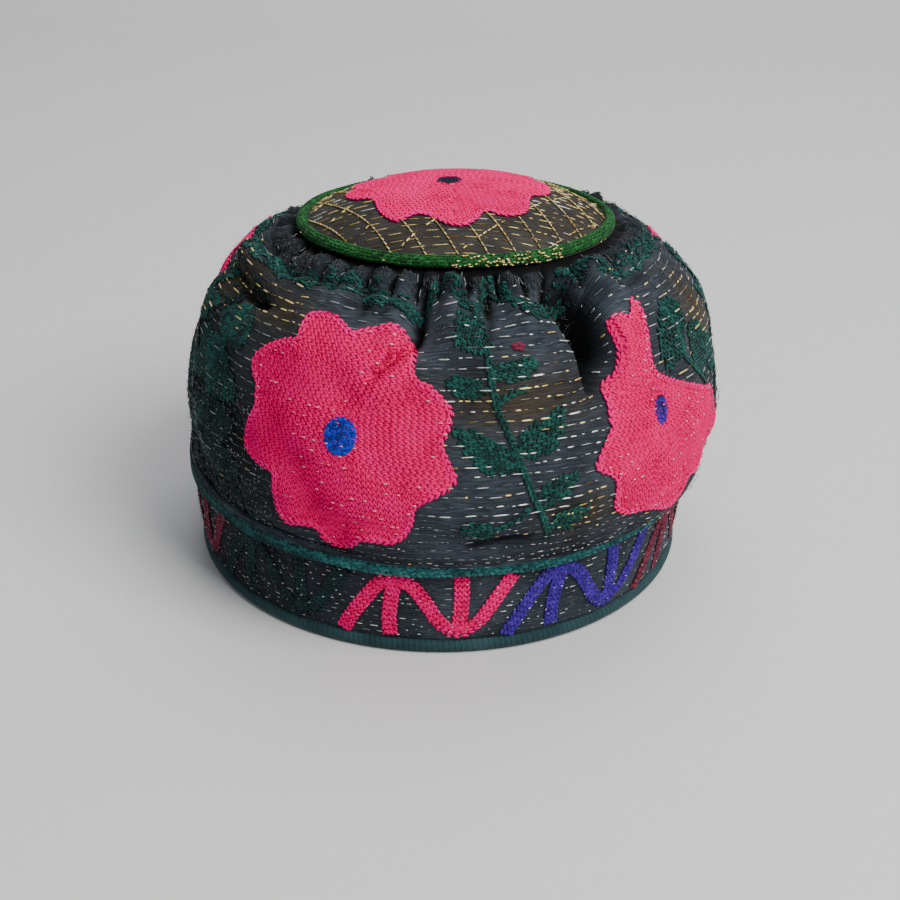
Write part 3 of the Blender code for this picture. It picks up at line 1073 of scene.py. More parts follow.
def make_panel_cloth():
    columns, rings = 192, 26
    shares = np.append(0.0, np.repeat(np.arange(1, rings + 1) / rings, columns))
    turns = np.append(0.0, np.tile(full_turn(columns), rings))
    flat = (DISC_RADIUS + 0.0004) * shares[:, None] * np.stack((np.cos(turns), np.sin(turns)), -1)
    points = panel_place(flat[:, 0] - PANEL_SHIFT * shares ** 2, flat[:, 1])
    faces = disc_faces(rings, columns)
    uvs = [flat[corner] for face in faces for corner in face]
    obj = mesh_piece("panel_cloth", points, faces, CLOTH, uvs)
    thicken(obj, PANEL_THICKNESS)
    paint(obj, "warm", np.full(len(points), 0.75))
    finish_piece(obj, "panel_cloth", ("crown_disc",))


def make_cord_ring(name, material, centre_of, steps, sides, wide, tall, depth, replaced):
    """A cord laid in a ring, its thread wound round it so that each wrap stands up a little."""
    wraps = steps // 4
    turn_grid, section_grid = np.meshgrid(full_turn(steps), full_turn(sides), indexing="ij")
    ridge = np.abs(np.cos(wraps * turn_grid / 2 + section_grid / 2))
    swell = 1 + depth * (ridge - 0.5)
    middle, out, up = centre_of(turn_grid)
    places = middle + out * (wide / 2 * swell * np.cos(section_grid))[..., None]
    places = places + up * (tall / 2 * swell * np.sin(section_grid))[..., None]
    faces, uvs = [], []
    for i in range(steps):
        for j in range(sides):
            a, b = (i + 1) % steps, (j + 1) % sides
            faces.append((i * sides + j, a * sides + j, a * sides + b, i * sides + b))
            left, right = i * wraps / steps, (i + 1) * wraps / steps
            low, high = j / sides, (j + 1) / sides
            uvs += [(left, low), (right, low), (right, high), (left, high)]
    obj = mesh_piece(name, places.reshape(-1, 3), faces, material, uvs)
    # Painted shade and highlight: each wrap is lighter on its crest and darker in the grooves between
    # wraps
    store(obj.data, "tone", "FLOAT", 0.36 + 0.28 * ridge)
    finish_piece(obj, name, (replaced,))


def upright_ring(radius, height):
    def centre_of(turn):
        out = outward_way(turn)
        up = np.broadcast_to((0.0, 0.0, 1.0), out.shape)
        return out * radius + np.array((0, 0, height)) + BAND_MIDDLE, out, up

    return centre_of


def panel_ring(radius, lift):
    def centre_of(turn):
        x, y = radius * np.sin(turn), -radius * np.cos(turn)
        middle = panel_place(x, y, lift)
        right, back, out = panel_axes(x, y)
        outward = unit(right * np.sin(turn)[..., None] - back * np.cos(turn)[..., None])
        return middle, outward, unit(np.cross(right, back))

    return centre_of


# Flowers, as turns in degrees and climbs round their own middles
LARGE_FLOWER_MIDDLE = (-22.1, 0.445)
LARGE_FLOWER = (
    (-37.0, 0.759), (-34.4, 0.774), (-29.7, 0.774), (-26.4, 0.752), (-24.0, 0.739), (-20.2, 0.762),
    (-16.5, 0.775), (-13.4, 0.778), (-11.6, 0.764), (-9.9, 0.742), (-8.6, 0.633), (-5.1, 0.609),
    (-2.3, 0.576), (-0.5, 0.548), (-0.3, 0.524), (-0.9, 0.486), (-1.9, 0.452), (-1.0, 0.418),
    (0.4, 0.378), (0.8, 0.348), (-2.2, 0.308), (-5.3, 0.282), (-7.0, 0.252), (-7.3, 0.215),
    (-8.6, 0.159), (-11.1, 0.135), (-14.6, 0.134), (-17.5, 0.129), (-18.9, 0.104), (-22.2, 0.083),
    (-25.5, 0.102), (-26.9, 0.130), (-30.7, 0.132), (-34.2, 0.122), (-36.6, 0.156), (-37.2, 0.219),
    (-37.6, 0.278), (-42.1, 0.288), (-45.7, 0.310), (-46.5, 0.342), (-45.6, 0.394), (-43.6, 0.452),
    (-43.9, 0.477), (-44.4, 0.518), (-46.3, 0.548), (-47.1, 0.581), (-45.0, 0.624), (-40.1, 0.668),
    (-36.8, 0.683),
)
FOLDED_FLOWER_MIDDLE = (48.0, 0.440)
FOLDED_FLOWER = (
    (37.5, 0.752), (39.7, 0.749), (43.4, 0.739), (45.9, 0.779), (47.7, 0.769), (47.2, 0.724),
    (46.6, 0.687), (46.4, 0.601), (48.9, 0.538), (56.3, 0.479), (62.2, 0.439), (68.0, 0.400),
    (73.5, 0.372), (75.8, 0.332), (73.2, 0.298), (75.8, 0.262), (76.5, 0.215), (73.5, 0.182),
    (70.5, 0.140), (65.5, 0.126), (61.2, 0.142), (54.8, 0.114), (51.0, 0.104),
    (44.6, 0.134), (39.6, 0.141), (37.1, 0.152), (34.7, 0.193), (34.4, 0.286), (30.2, 0.332),
    (29.9, 0.352), (32.1, 0.427), (33.5, 0.447), (32.8, 0.464), (33.5, 0.511), (33.3, 0.551),
    (34.0, 0.574), (36.2, 0.589), (36.8, 0.637), (36.7, 0.710),
)
# The other flowers: name, middle turn, middle climb, size, mirrored
OTHER_FLOWERS = (
    ("right_back_flower", 119.0, 0.440, 0.96, -1.0),
    ("back_flower", 188.0, 0.445, 1.00, 1.0),
    ("left_flower", 246.5, 0.480, 0.93, -1.0),
)
# The flowers' eyes: middle across and up, half width and half height, in metres
FRONT_EYE = np.array((0.0, 0.0, 0.0046, 0.0052))
OTHER_EYE = np.array((0.0, 0.0, 0.0046, 0.0054))
FOLDED_EYE = np.array((0.0, 0.0, 0.0024, 0.0042))
TOP_EYE = np.array((-0.0023, 0.0070, 0.0038, 0.0042))
# The places inside the folded flower and the top flower that their outlines are drawn in towards
FOLDED_HEART = np.array((-0.0085, 0.0066))
TOP_HEART = np.array((-0.001, 0.003))

# Places on the top panel's flat round, in millimetres
TOP_FLOWER = (
    (-37.6, 1.6), (-33.9, -6.9), (-27.6, -11.1), (-24.9, -22.8), (-21.7, -28.9), (-18.5, -31.5),
    (-15.0, -28.6), (-11.4, -27.8), (-6.6, -31.0), (-3.2, -34.4), (0.0, -36.0), (3.2, -35.5),
    (6.1, -31.8), (8.5, -25.9), (11.4, -24.9), (15.4, -27.6), (20.1, -26.2), (23.1, -22.0),
    (24.4, -9.0), (28.1, -5.6), (31.3, -0.8), (31.5, 8.5), (29.4, 16.0), (25.8, 20.5),
    (27.0, 27.0), (24.0, 34.0), (15.5, 32.0), (11.0, 31.0), (8.0, 38.0), (1.0, 41.0),
    (-4.0, 36.0), (-8.0, 31.0), (-14.0, 36.0), (-22.0, 34.5), (-24.0, 27.0), (-24.5, 21.5),
    (-31.0, 21.0), (-36.0, 15.0), (-34.0, 8.5),
)

# The sprig between the two front flowers, as turns in degrees and climbs
SPRIG_MIDDLE = (10.5, 0.430)
SPRIG_STEMS = (
    ((6.7, 0.710), (7.1, 0.643), (8.1, 0.587), (8.8, 0.548), (10.5, 0.494), (12.4, 0.437),
     (14.2, 0.371), (15.4, 0.320), (16.3, 0.277), (19.0, 0.182), (20.0, 0.130)),
    ((15.4, 0.250), (10.5, 0.205), (7.0, 0.190)),
    ((17.0, 0.235), (21.0, 0.275), (24.0, 0.312)),
    ((18.5, 0.190), (22.5, 0.165), (25.0, 0.160)),
    ((8.6, 0.560), (12.0, 0.590), (15.0, 0.600)),
)
SPRIG_LEAVES = (
    ((0.2, 0.803), (2.0, 0.817), (5.7, 0.819), (7.6, 0.769), (6.9, 0.717), (4.1, 0.706), (0.2, 0.735)),
    ((7.2, 0.640), (10.4, 0.678), (16.6, 0.678), (15.8, 0.640), (11.4, 0.622)),
    ((6.6, 0.600), (3.0, 0.632), (-1.4, 0.635), (-0.4, 0.597), (3.3, 0.578)),
    ((13.2, 0.421), (14.3, 0.471), (18.7, 0.511), (21.9, 0.523), (21.6, 0.458), (18.5, 0.412)),
    ((13.6, 0.380), (10.4, 0.440), (5.5, 0.476), (1.0, 0.487), (3.3, 0.425), (7.5, 0.375)),
    ((17.7, 0.290), (20.4, 0.330), (25.0, 0.335), (23.5, 0.285), (20.6, 0.262)),
    ((8.6, 0.196), (5.4, 0.216), (2.4, 0.196), (4.4, 0.168), (8.0, 0.166)),
    ((20.6, 0.205), (24.0, 0.230), (27.6, 0.214), (25.4, 0.180), (22.0, 0.168)),
)
# A middle to measure from for what lies at the sides
SIDE_MIDDLE = (0.0, 0.5)
# Leafy teal masses beside the flowers, as turns in degrees and climbs
SIDE_LEAVES = (
    ((54.8, 0.724), (60.9, 0.724), (62.4, 0.657), (58.0, 0.583), (53.2, 0.545), (50.4, 0.643)),
    ((64.3, 0.628), (69.0, 0.600), (73.6, 0.520), (72.0, 0.440), (66.6, 0.470), (63.6, 0.540)),
    ((-62.0, 0.700), (-55.0, 0.690), (-52.4, 0.648), (-53.5, 0.590), (-61.0, 0.580), (-66.0, 0.640)),
    ((-71.0, 0.560), (-62.0, 0.560), (-55.0, 0.500), (-52.0, 0.440), (-60.0, 0.420), (-69.0, 0.470)),
    ((-90.0, 0.730), (-82.0, 0.780), (-74.0, 0.760), (-77.0, 0.700), (-86.0, 0.670)),
    ((-90.0, 0.620), (-82.0, 0.650), (-74.0, 0.620), (-76.0, 0.560), (-86.0, 0.550)),
)
# The leaves beside the front flower, sewn in teal darkened as painted shade
SHADED_LEAVES = (
    ((-66.0, 0.390), (-58.0, 0.400), (-52.0, 0.360), (-54.0, 0.300), (-62.0, 0.290), (-68.0, 0.330)),
    ((-62.0, 0.250), (-54.0, 0.270), (-48.0, 0.230), (-50.0, 0.170), (-58.0, 0.160)),
    ((-88.0, 0.500), (-80.0, 0.530), (-73.0, 0.490), (-76.0, 0.430), (-85.0, 0.430)),
)
SIDE_STEMS = (
    ((57.0, 0.740), (57.5, 0.640), (58.5, 0.560), (63.0, 0.500), (69.0, 0.420), (76.0, 0.300)),
    ((-60.0, 0.720), (-61.0, 0.600), (-62.5, 0.480), (-61.0, 0.400)),
    ((-62.0, 0.480), (-68.0, 0.430), (-73.0, 0.420)),
)
SHADED_STEMS = (
    ((-61.0, 0.400), (-59.5, 0.320), (-57.0, 0.240), (-54.0, 0.120)),
    ((-60.0, 0.330), (-66.0, 0.270), (-71.0, 0.260)),
    ((-57.0, 0.240), (-51.0, 0.160), (-47.0, 0.090)),
)
# The other sprigs: middle turn, middle climb, size, mirrored
OTHER_SPRIGS = (
    (85.0, 0.430, 0.98, -1.0),
    (153.0, 0.430, 1.02, 1.0),
    (222.0, 0.425, 1.00, -1.0),
    (284.0, 0.430, 0.95, 1.0),
)
# The wavy teal line under the gathers, as turns in degrees and climbs
GATHER_LINE = (
    (-94.5, 0.799), (-82.0, 0.835), (-69.1, 0.864), (-61.5, 0.874), (-49.9, 0.868), (-40.1, 0.890),
    (-28.9, 0.898), (-19.6, 0.863), (-12.7, 0.855), (-9.5, 0.862), (-7.1, 0.915), (-3.8, 0.945),
    (-0.5, 0.900), (2.2, 0.868), (4.7, 0.845), (7.1, 0.915), (9.0, 0.945), (12.2, 0.930),
    (15.3, 0.866), (20.6, 0.825), (26.1, 0.880), (31.0, 0.925), (36.1, 0.950), (41.0, 0.935),
    (47.8, 0.915), (58.1, 0.892), (71.9, 0.900), (84.0, 0.885), (97.7, 0.868), (106.0, 0.835),
    (116.3, 0.807), (126.0, 0.860), (139.0, 0.890), (149.0, 0.880), (158.0, 0.840), (170.0, 0.880),
    (184.0, 0.905), (196.0, 0.870), (206.0, 0.835), (218.0, 0.880), (231.0, 0.905), (243.0, 0.870),
    (254.0, 0.830),
)
# The band's wavy motif: degrees from the crest, and height over the table in millimetres
WAVE_STROKES = (
    ((-12.1, 5.6), (-9.6, 13.0), (-6.7, 20.0), (-3.2, 27.5), (0.0, 29.6), (3.4, 27.0), (6.3, 21.0),
     (9.5, 12.7), (13.5, 8.4), (17.7, 12.6), (20.4, 19.5), (22.6, 25.0), (25.0, 30.4)),
    ((0.0, 28.0), (-1.0, 21.0), (-1.5, 13.0), (-1.3, 6.2)),
    ((13.5, 9.0), (13.9, 17.0), (14.0, 25.0), (13.9, 31.2)),
)
FIRST_CREST = -8.5
WAVE_SPACING = 36.0
# The colour of each wave, from the front towards +X; dark_teal is teal darkened as painted shade
WAVE_COLOURS = ("pink", "violet", "red", "teal", "pink", "violet", "pink", "violet", "red", "dark_teal")


def make_pad(name, ground, outline, heart, rise):
    """A thin closed patch that fills the gaps between the stitches sewn on it."""
    shares = (0.14, 0.28, 0.42, 0.56, 0.68, 0.79, 0.88, 0.95, 0.99, 1.0)
    sink = 0.0002
    count = len(outline)
    flat = np.concatenate([heart[None]] + [heart + (outline - heart) * reach for reach in shares])
    share = np.append(0.0, np.repeat(shares, count))
    top = ground.at(flat, rise * (1 - share ** 60) - sink * share ** 60)
    under = ground.at(flat, -sink) - sink * ground.directions(flat)[2]
    faces = disc_faces(len(shares), count)
    total = len(flat)
    faces += [tuple(total + corner for corner in reversed(face)) for face in faces]
    rim = total - count
    for i in range(count):
        k = (i + 1) % count
        faces.append((rim + i, total + rim + i, total + rim + k, rim + k))
    uvs = [flat[corner % total] * 300 for face in faces for corner in face]
    obj = mesh_piece(name, np.concatenate((top, under)), faces, PINK, uvs)
    shape = bmesh.new()
    shape.from_mesh(obj.data)
    bmesh.ops.recalc_face_normals(shape, faces=shape.faces)
    shape.to_mesh(obj.data)
    shape.free()
    store(obj.data, "tone", "FLOAT", np.full(2 * total, 0.42))
    finish_piece(obj, name)


def sew_eye(ground, eye, chance):
    """The eye of a flower, filled with close rows."""
    stitches = Stitches()
    turns = full_turn(24)
    ring = eye[:2] + eye[2:] * np.stack((np.cos(turns), np.sin(turns)), -1)
    sew_fill(stitches, ground, ring, EYE_LINK, EYE_ROW, EYE_LIFT, chance, angle=0.5, edge=-1.0,
             spread=0.9)
    closed = np.concatenate((ring, ring[:1]))
    sew_line(stitches, ground, closed, EYE_LINK, EYE_ROW, EYE_LIFT, chance, spread=0.8)
    return stitches


# The flowers' zones, each sewn in its own direction: middle across and up in metres, degrees
FLOWER_ZONES = np.array((
    (-0.016, 0.024, -22.0),
    (0.010, 0.024, -12.0),
    (0.022, 0.002, 0.0),
    (-0.022, -0.002, -8.0),
    (-0.010, -0.026, 82.0),
    (0.012, -0.026, 96.0),
))
TOP_ZONES = np.array((
    (-0.024, 0.004, 15.0),
    (-0.012, -0.018, 60.0),
    (0.010, -0.018, 100.0),
    (0.020, 0.006, -10.0),
    (0.000, 0.028, 5.0),
))


def make_flower(name, ground, outline, heart, eye, seed, zones, row=PETAL_ROW, lift=0.00045,
                spread=0.25, edge_tone=0.62):
    """A pink flower in rows of chain stitch on its pad, with an outline row. Returns its eye."""
    chance = np.random.default_rng(seed)
    line = outline_curve(outline, 4)
    make_pad(name + "_pad", ground, line, heart, lift - 0.0001)
    stitches = Stitches()
    for number, zone in enumerate(zones):
        sew_fill(stitches, ground, line, PETAL_LINK, row, lift, chance, angle=zone[2] * DEGREE,
                 spread=spread, hole=eye, zones=zones, zone=number)
    closed = np.concatenate((line, line[:1]))
    edge = heart + (closed - heart) * EDGE_ROW_SHARE
    sew_line(stitches, ground, edge, PETAL_EDGE_LINK, PETAL_EDGE_ROW, lift + 0.0001, chance,
             tone=edge_tone, spread=0.35)
    stitches.sew(name, "pink_thread", PINK)
    return sew_eye(ground, eye, chance)


def make_wall_flowers():
    """The five large flowers of the wall."""
    large = own_to_flat(LARGE_FLOWER, LARGE_FLOWER_MIDDLE)
    folded = own_to_flat(FOLDED_FLOWER, FOLDED_FLOWER_MIDDLE)
    heart = np.zeros(2)
    eyes = make_flower("front_flower", wall_ground(*LARGE_FLOWER_MIDDLE), large, heart, FRONT_EYE,
                       11, FLOWER_ZONES, row=FINE_PETAL_ROW)
    folded_eye = make_flower("folded_flower", wall_ground(*FOLDED_FLOWER_MIDDLE), folded,
                             FOLDED_HEART, FOLDED_EYE, 12, FLOWER_ZONES, row=FINE_PETAL_ROW)
    for number, (name, turn, climb, size, mirror) in enumerate(OTHER_FLOWERS):
        ground = wall_ground(turn, climb, mirror)
        eye = make_flower(name, ground, large * size, heart, OTHER_EYE, 21 + number, FLOWER_ZONES)
        eyes.rows += eye.rows
    eyes.sew("flower_eyes", "blue_thread", BLUE)
    folded_eye.sew("folded_flower_eye", "violet_thread", VIOLET)


def make_top_flower():
    outline = np.asarray(TOP_FLOWER) / 1000
    eye = make_flower("top_flower", panel_ground(), outline, TOP_HEART, TOP_EYE, 31, TOP_ZONES,
                      lift=0.0005, spread=0.4, edge_tone=0.68)
    eye.sew("top_flower_eye", "blue_thread", NAVY)


def sew_sprig(stitches, ground, stems, leaves, chance):
    """Stems of one rough row, and leaves filled along their own length."""
    for stem in stems:
        line = outline_curve(stem, 6, closed=False)
        sew_line(stitches, ground, line, STEM_LINK, STEM_ROW, USUAL_LIFT, chance, spread=0.7)
    for leaf in leaves:
        outline = outline_curve(leaf, 5)
        reach = outline - outline.mean(0)
        outline = outline.mean(0) + reach * 1.12
        x, y = reach[:, 0], reach[:, 1]
        angle = 0.5 * math.atan2(2 * (x * y).sum(), (x ** 2 - y ** 2).sum())
        sew_fill(stitches, ground, outline, LEAF_LINK, LEAF_ROW, USUAL_LIFT, chance, angle=angle,
                 edge=0.0, spread=0.9)


def all_to_flat(tables, middle):
    return [own_to_flat(table, middle) for table in tables]


def make_sprigs():
    chance = np.random.default_rng(41)
    stems, leaves = all_to_flat(SPRIG_STEMS, SPRIG_MIDDLE), all_to_flat(SPRIG_LEAVES, SPRIG_MIDDLE)
    side_ground = wall_ground(*SIDE_MIDDLE)
    front, dark, others = Stitches(), Stitches(), Stitches()
    sew_sprig(front, wall_ground(*SPRIG_MIDDLE), stems, leaves, chance)
    for stitches, side_stems, side_leaves in (
        (front, SIDE_STEMS, SIDE_LEAVES),
        (dark, SHADED_STEMS, SHADED_LEAVES),
    ):
        sew_sprig(stitches, side_ground, all_to_flat(side_stems, SIDE_MIDDLE),
                  all_to_flat(side_leaves, SIDE_MIDDLE), chance)
    for turn, climb, size, mirror in OTHER_SPRIGS:
        ground = wall_ground(turn, climb, mirror)
        sew_sprig(others, ground, [s * size for s in stems], [s * size for s in leaves], chance)
    front.sew("front_sprigs", "teal_thread", TEAL)
    dark.sew("shaded_leaves", "dark_teal_thread", SHADED_TEAL)
    others.sew("back_sprigs", "teal_thread", TEAL)


# Ends of the rough upright strokes at the front's left: turn, low climb, high climb
LEFT_STROKES = (
    (-49.0, 0.050, 0.230), (-53.5, 0.040, 0.330), (-58.5, 0.060, 0.300), (-63.0, 0.090, 0.420),
    (-68.0, 0.060, 0.260), (-73.0, 0.100, 0.380), (-78.0, 0.080, 0.330), (-84.0, 0.100, 0.360),
    (-45.0, 0.030, 0.130), (-39.5, 0.020, 0.095),
)


def make_left_strokes():
    """Rough upright rows and scattered short stitches beside the front flower."""
    chance = np.random.default_rng(131)
    stitches, specks = Stitches(), Stitches()
    ground = wall_ground(*SIDE_MIDDLE)
    for turn, low, high in LEFT_STROKES:
        turns = turn + 1.6 * (chance.random(6) - 0.5)
        line = own_to_flat(np.stack((turns, np.linspace(low, high, 6)), -1), SIDE_MIDDLE)
        line = outline_curve(line, 4, closed=False)
        sew_line(stitches, ground, line, STROKE_LINK, STROKE_ROW, LOW_LIFT, chance,
                 offsets=STROKE_ROW_OFFSETS, spread=1.0)
    count = 1500
    turn = (-94 + 40 * chance.random(count)) * DEGREE
    climb = 0.28 + 0.52 * chance.random(count)
    patchy = np.sin(turn * 31) * np.sin(climb * 27 + turn * 9) + 0.3
    chosen = chance.random(count) < np.clip(patchy, 0, 1)
    scatter(stitches, WALL_FACE, turn[chosen], climb[chosen], USUAL_LIFT,
            (0.0026, 0.0011, 0.0009), chance, half_turns=2, upright=1.4)
    # The strokes are teal, darkened as painted shade
    stitches.sew("left_strokes", "dark_teal_thread", SHADED_TEAL)
    speck_size = (0.0009, 0.00042, 0.0004)
    count = 900
    turn = (-92 + 54 * chance.random(count)) * DEGREE
    climb = 0.03 + 0.45 * chance.random(count)
    open_cloth = ~inside_any([np.asarray(LARGE_FLOWER)], np.stack((turn / DEGREE, climb), -1))
    scatter(specks, WALL_FACE, turn[open_cloth], climb[open_cloth], 0.0006, speck_size, chance)
    count = 260
    turn = (-88 + 56 * chance.random(count)) * DEGREE
    height = 0.007 + 0.029 * chance.random(count)
    scatter(specks, BAND_FACE, turn, height, 0.0006, speck_size, chance)
    specks.sew("left_specks", "silver_thread", GREY)


def make_gather_line():
    chance = np.random.default_rng(51)
    stitches = Stitches()
    table = np.asarray(GATHER_LINE, float)
    closed = np.concatenate((table[-2:] - (360, 0), table, table[:2] + (360, 0)))
    fine = outline_curve(closed, 8, closed=False)
    fine = fine[(fine[:, 0] >= table[0, 0]) & (fine[:, 0] < table[0, 0] + 360)]
    lengths = lengths_along(wall_place(fine[:, 0] * DEGREE, fine[:, 1]))
    for offset in (-0.024, -0.012, 0.0, 0.012, 0.022):
        own = even_steps(fine, lengths, GATHER_LINK)
        turn = own[:, 0] * DEGREE
        wander = 0.005 * np.sin(31 * turn + 90 * offset) + 0.011 * (chance.random(len(own)) - 0.5)
        climb = np.clip(own[:, 1] + offset + wander, 0, 0.965)
        kept = (abs(offset) < 0.02) | (chance.random(len(own)) < 0.65)
        out = wall_axes(turn, climb)[2]
        place = wall_place(turn, climb, LOW_LIFT)
        along = unit(np.gradient(place, axis=0))
        along = unit(along + 0.5 * np.cross(out, along) * (chance.random((len(own), 1)) - 0.5))
        chain_links(stitches, place[kept], along[kept], out[kept], GATHER_LINK, GATHER_ROW, chance,
                    0.42, 1.0)
    stitches.sew("gather_line", "teal_thread", TEAL)


def make_gather_stitches():
    """Short grey threads that draw the pleats together below the top cord."""
    chance = np.random.default_rng(61)
    stitches = Stitches()
    turns = full_turn(720)
    phase = (GATHERS * pleat_turn(turns) / 2 - math.pi / 2) % math.pi
    creases = turns[np.diff(phase, append=phase[:1]) < -1]
    count = len(creases)
    rows = ((0.945, 0.0052), (0.962, 0.0036), (0.930, 0.0030), (0.950, 0.0026), (0.918, 0.0030))
    for row_climb, length in rows:
        turn = creases + 0.050 * (chance.random(count) - 0.5)
        climb = row_climb + 0.016 * (chance.random(count) - 0.5)
        round_it, up_it, out = wall_axes(turn + 0.03, climb)
        lean = 0.9 * (chance.random((count, 1)) - 0.5)
        along = unit(up_it + round_it * lean)
        place = wall_place(turn, climb, 0.0007)
        stitches.add(place, along, out, length, 0.00045, 0.00040, chance.random(count))
    count = 2600
    turn = chance.random(count) * 2 * math.pi
    climb = 0.895 + 0.062 * chance.random(count)
    round_it, up_it, out = wall_axes(turn, climb)
    lean = chance.random((count, 2)) - 0.5
    along = unit(up_it + 1.1 * round_it * lean[:, :1] + 0.9 * out * lean[:, 1:])
    length = 0.0010 + 0.0016 * chance.random(count)
    place = wall_place(turn, climb, 0.0004)
    stitches.add(place, along, out, length, 0.00030, 0.00030, 0.36 * chance.random(count))
    stitches.sew("gather_stitches", "silver_thread", GREY)


def make_rings():
    """The hem's binding, the piping and the top cord: bound cores, two of them with stitches."""
    hem = upright_ring(BAND_BOTTOM_RADIUS - BAND_WALL / 2 + 0.0002, HEM_CORD_WIDTH / 2)
    piping = upright_ring(BAND_TOP_RADIUS + 0.0011, BAND_TOP_HEIGHT - 0.0004)
    top = panel_ring(TOP_CORD_RADIUS, 0.0004)
    make_cord_ring("hem_binding", HEM_TEAL, hem, 1160, 12,
                   HEM_CORD_WIDTH * 0.93, HEM_CORD_WIDTH * 0.93, 0.045, "hem_cord")
    make_cord_ring("piping_core", SEAM_TEAL, piping, 528, 10,
                   PIPING_WIDTH * 0.60, PIPING_WIDTH, 0.05, "band_piping")
    make_cord_ring("top_cord_core", GREEN, top, 480, 10,
                   DISC_CORD_WIDTH * 0.95, DISC_CORD_WIDTH * 0.75, 0.05, "disc_edge_cord")
    chance = np.random.default_rng(71)
    sewn = Stitches()
    count = int(2 * math.pi * BAND_TOP_RADIUS / CORD_LINK)
    for height in (-0.0014, 0.0, 0.0014):
        turn = full_turn(count, chance.random())
        middle, out, up = piping(turn)
        wander = height + 0.0003 * np.sin(11 * turn) + 0.0003 * (chance.random(count) - 0.5)
        place = middle + out * PIPING_WIDTH * 0.27 + up * wander[:, None]
        # Painted shade: the piping's stitches are darker at the left of the front
        tones = 0.5 - 0.6 * left_shade(turn, -62)
        chain_links(sewn, place, round_way(turn), out, CORD_LINK, PIPING_ROW, chance, tones, 0.8)
    sewn.sew("piping_stitches", "teal_thread", SEAM_TEAL)
    sewn = Stitches()
    count = int(2 * math.pi * DISC_RADIUS / CORD_LINK)
    for angle in (-40, -5, 30, 65, 100, 135):
        turn = full_turn(count, chance.random())
        middle, outward, out = top(turn)
        lean = angle * DEGREE + 0.25 * (chance.random((count, 1)) - 0.5)
        normal = outward * np.cos(lean) + out * np.sin(lean)
        place = middle + outward * DISC_CORD_WIDTH * 0.46 * np.cos(lean)
        place = place + out * DISC_CORD_WIDTH * 0.37 * np.sin(lean)
        along = np.cross(out, outward)
        chain_links(sewn, place, along, normal, CORD_LINK, TOP_CORD_ROW, chance, 0.55, 0.9)
    sewn.sew("top_cord_stitches", "green_thread", GREEN)


def make_band_waves():
    """The wavy motif of the band, a wave of one colour after another."""
    chance = np.random.default_rng(81)
    ground = band_ground()
    dyed = {
        "pink": ("pink_thread", PINK),
        "violet": ("violet_thread", VIOLET),
        "red": ("red_thread", RED),
        "teal": ("teal_thread", TEAL),
        "dark_teal": ("dark_teal_thread", DARK_TEAL),
    }
    sewn = {colour: Stitches() for colour in dyed}
    for number, colour in enumerate(WAVE_COLOURS):
        crest = FIRST_CREST + number * WAVE_SPACING
        # The wave at the left of the front is teal darkened as painted shade, with a darker thread and
        # a low tone
        tone = 0.20 if colour == "dark_teal" else 0.50
        for stroke in WAVE_STROKES:
            table = np.asarray(stroke, float) + (crest, 0)
            flat = table * (DEGREE * BAND_BOTTOM_RADIUS, 0.001)
            line = outline_curve(flat, 5, closed=False)
            sew_line(sewn[colour], ground, line, WAVE_LINK, WAVE_ROW, USUAL_LIFT, chance,
                     offsets=WAVE_ROW_OFFSETS, tone=tone, spread=0.6)
    for colour, stitches in sewn.items():
        stitches.sew("band_wave_" + colour, *dyed[colour])


def inside_any(outlines, own):
    """Which places of the wall lie under an outline, in degrees and climbs."""
    covered = np.zeros(len(own), bool)
    for outline in outlines:
        middle = outline[:, 0].mean()
        turned = own.copy()
        turned[:, 0] = middle + (own[:, 0] - middle + 180) % 360 - 180
        covered |= inside(outline, turned)
    return covered


def flower_outlines():
    """Every wall flower's outline in degrees and climbs."""
    outlines = [np.asarray(LARGE_FLOWER), np.asarray(FOLDED_FLOWER)]
    large = own_to_flat(LARGE_FLOWER, LARGE_FLOWER_MIDDLE)
    for _, turn, climb, size, mirror in OTHER_FLOWERS:
        own = wall_ground(turn, climb, mirror).flat_to_own(large * size)
        outlines.append(own / (DEGREE, 1))
    return outlines


def broken_row(start, end, radius, lengths, gaps, chance):
    """Starts and lengths of the strips in one row, each with a gap after it."""
    row = []
    while start < end:
        length = lengths[0] + lengths[1] * chance.random() ** lengths[2]
        row.append((start, length))
        start += (length + gaps[0] + gaps[1] * chance.random() ** gaps[2]) / radius
    return np.array(row).T


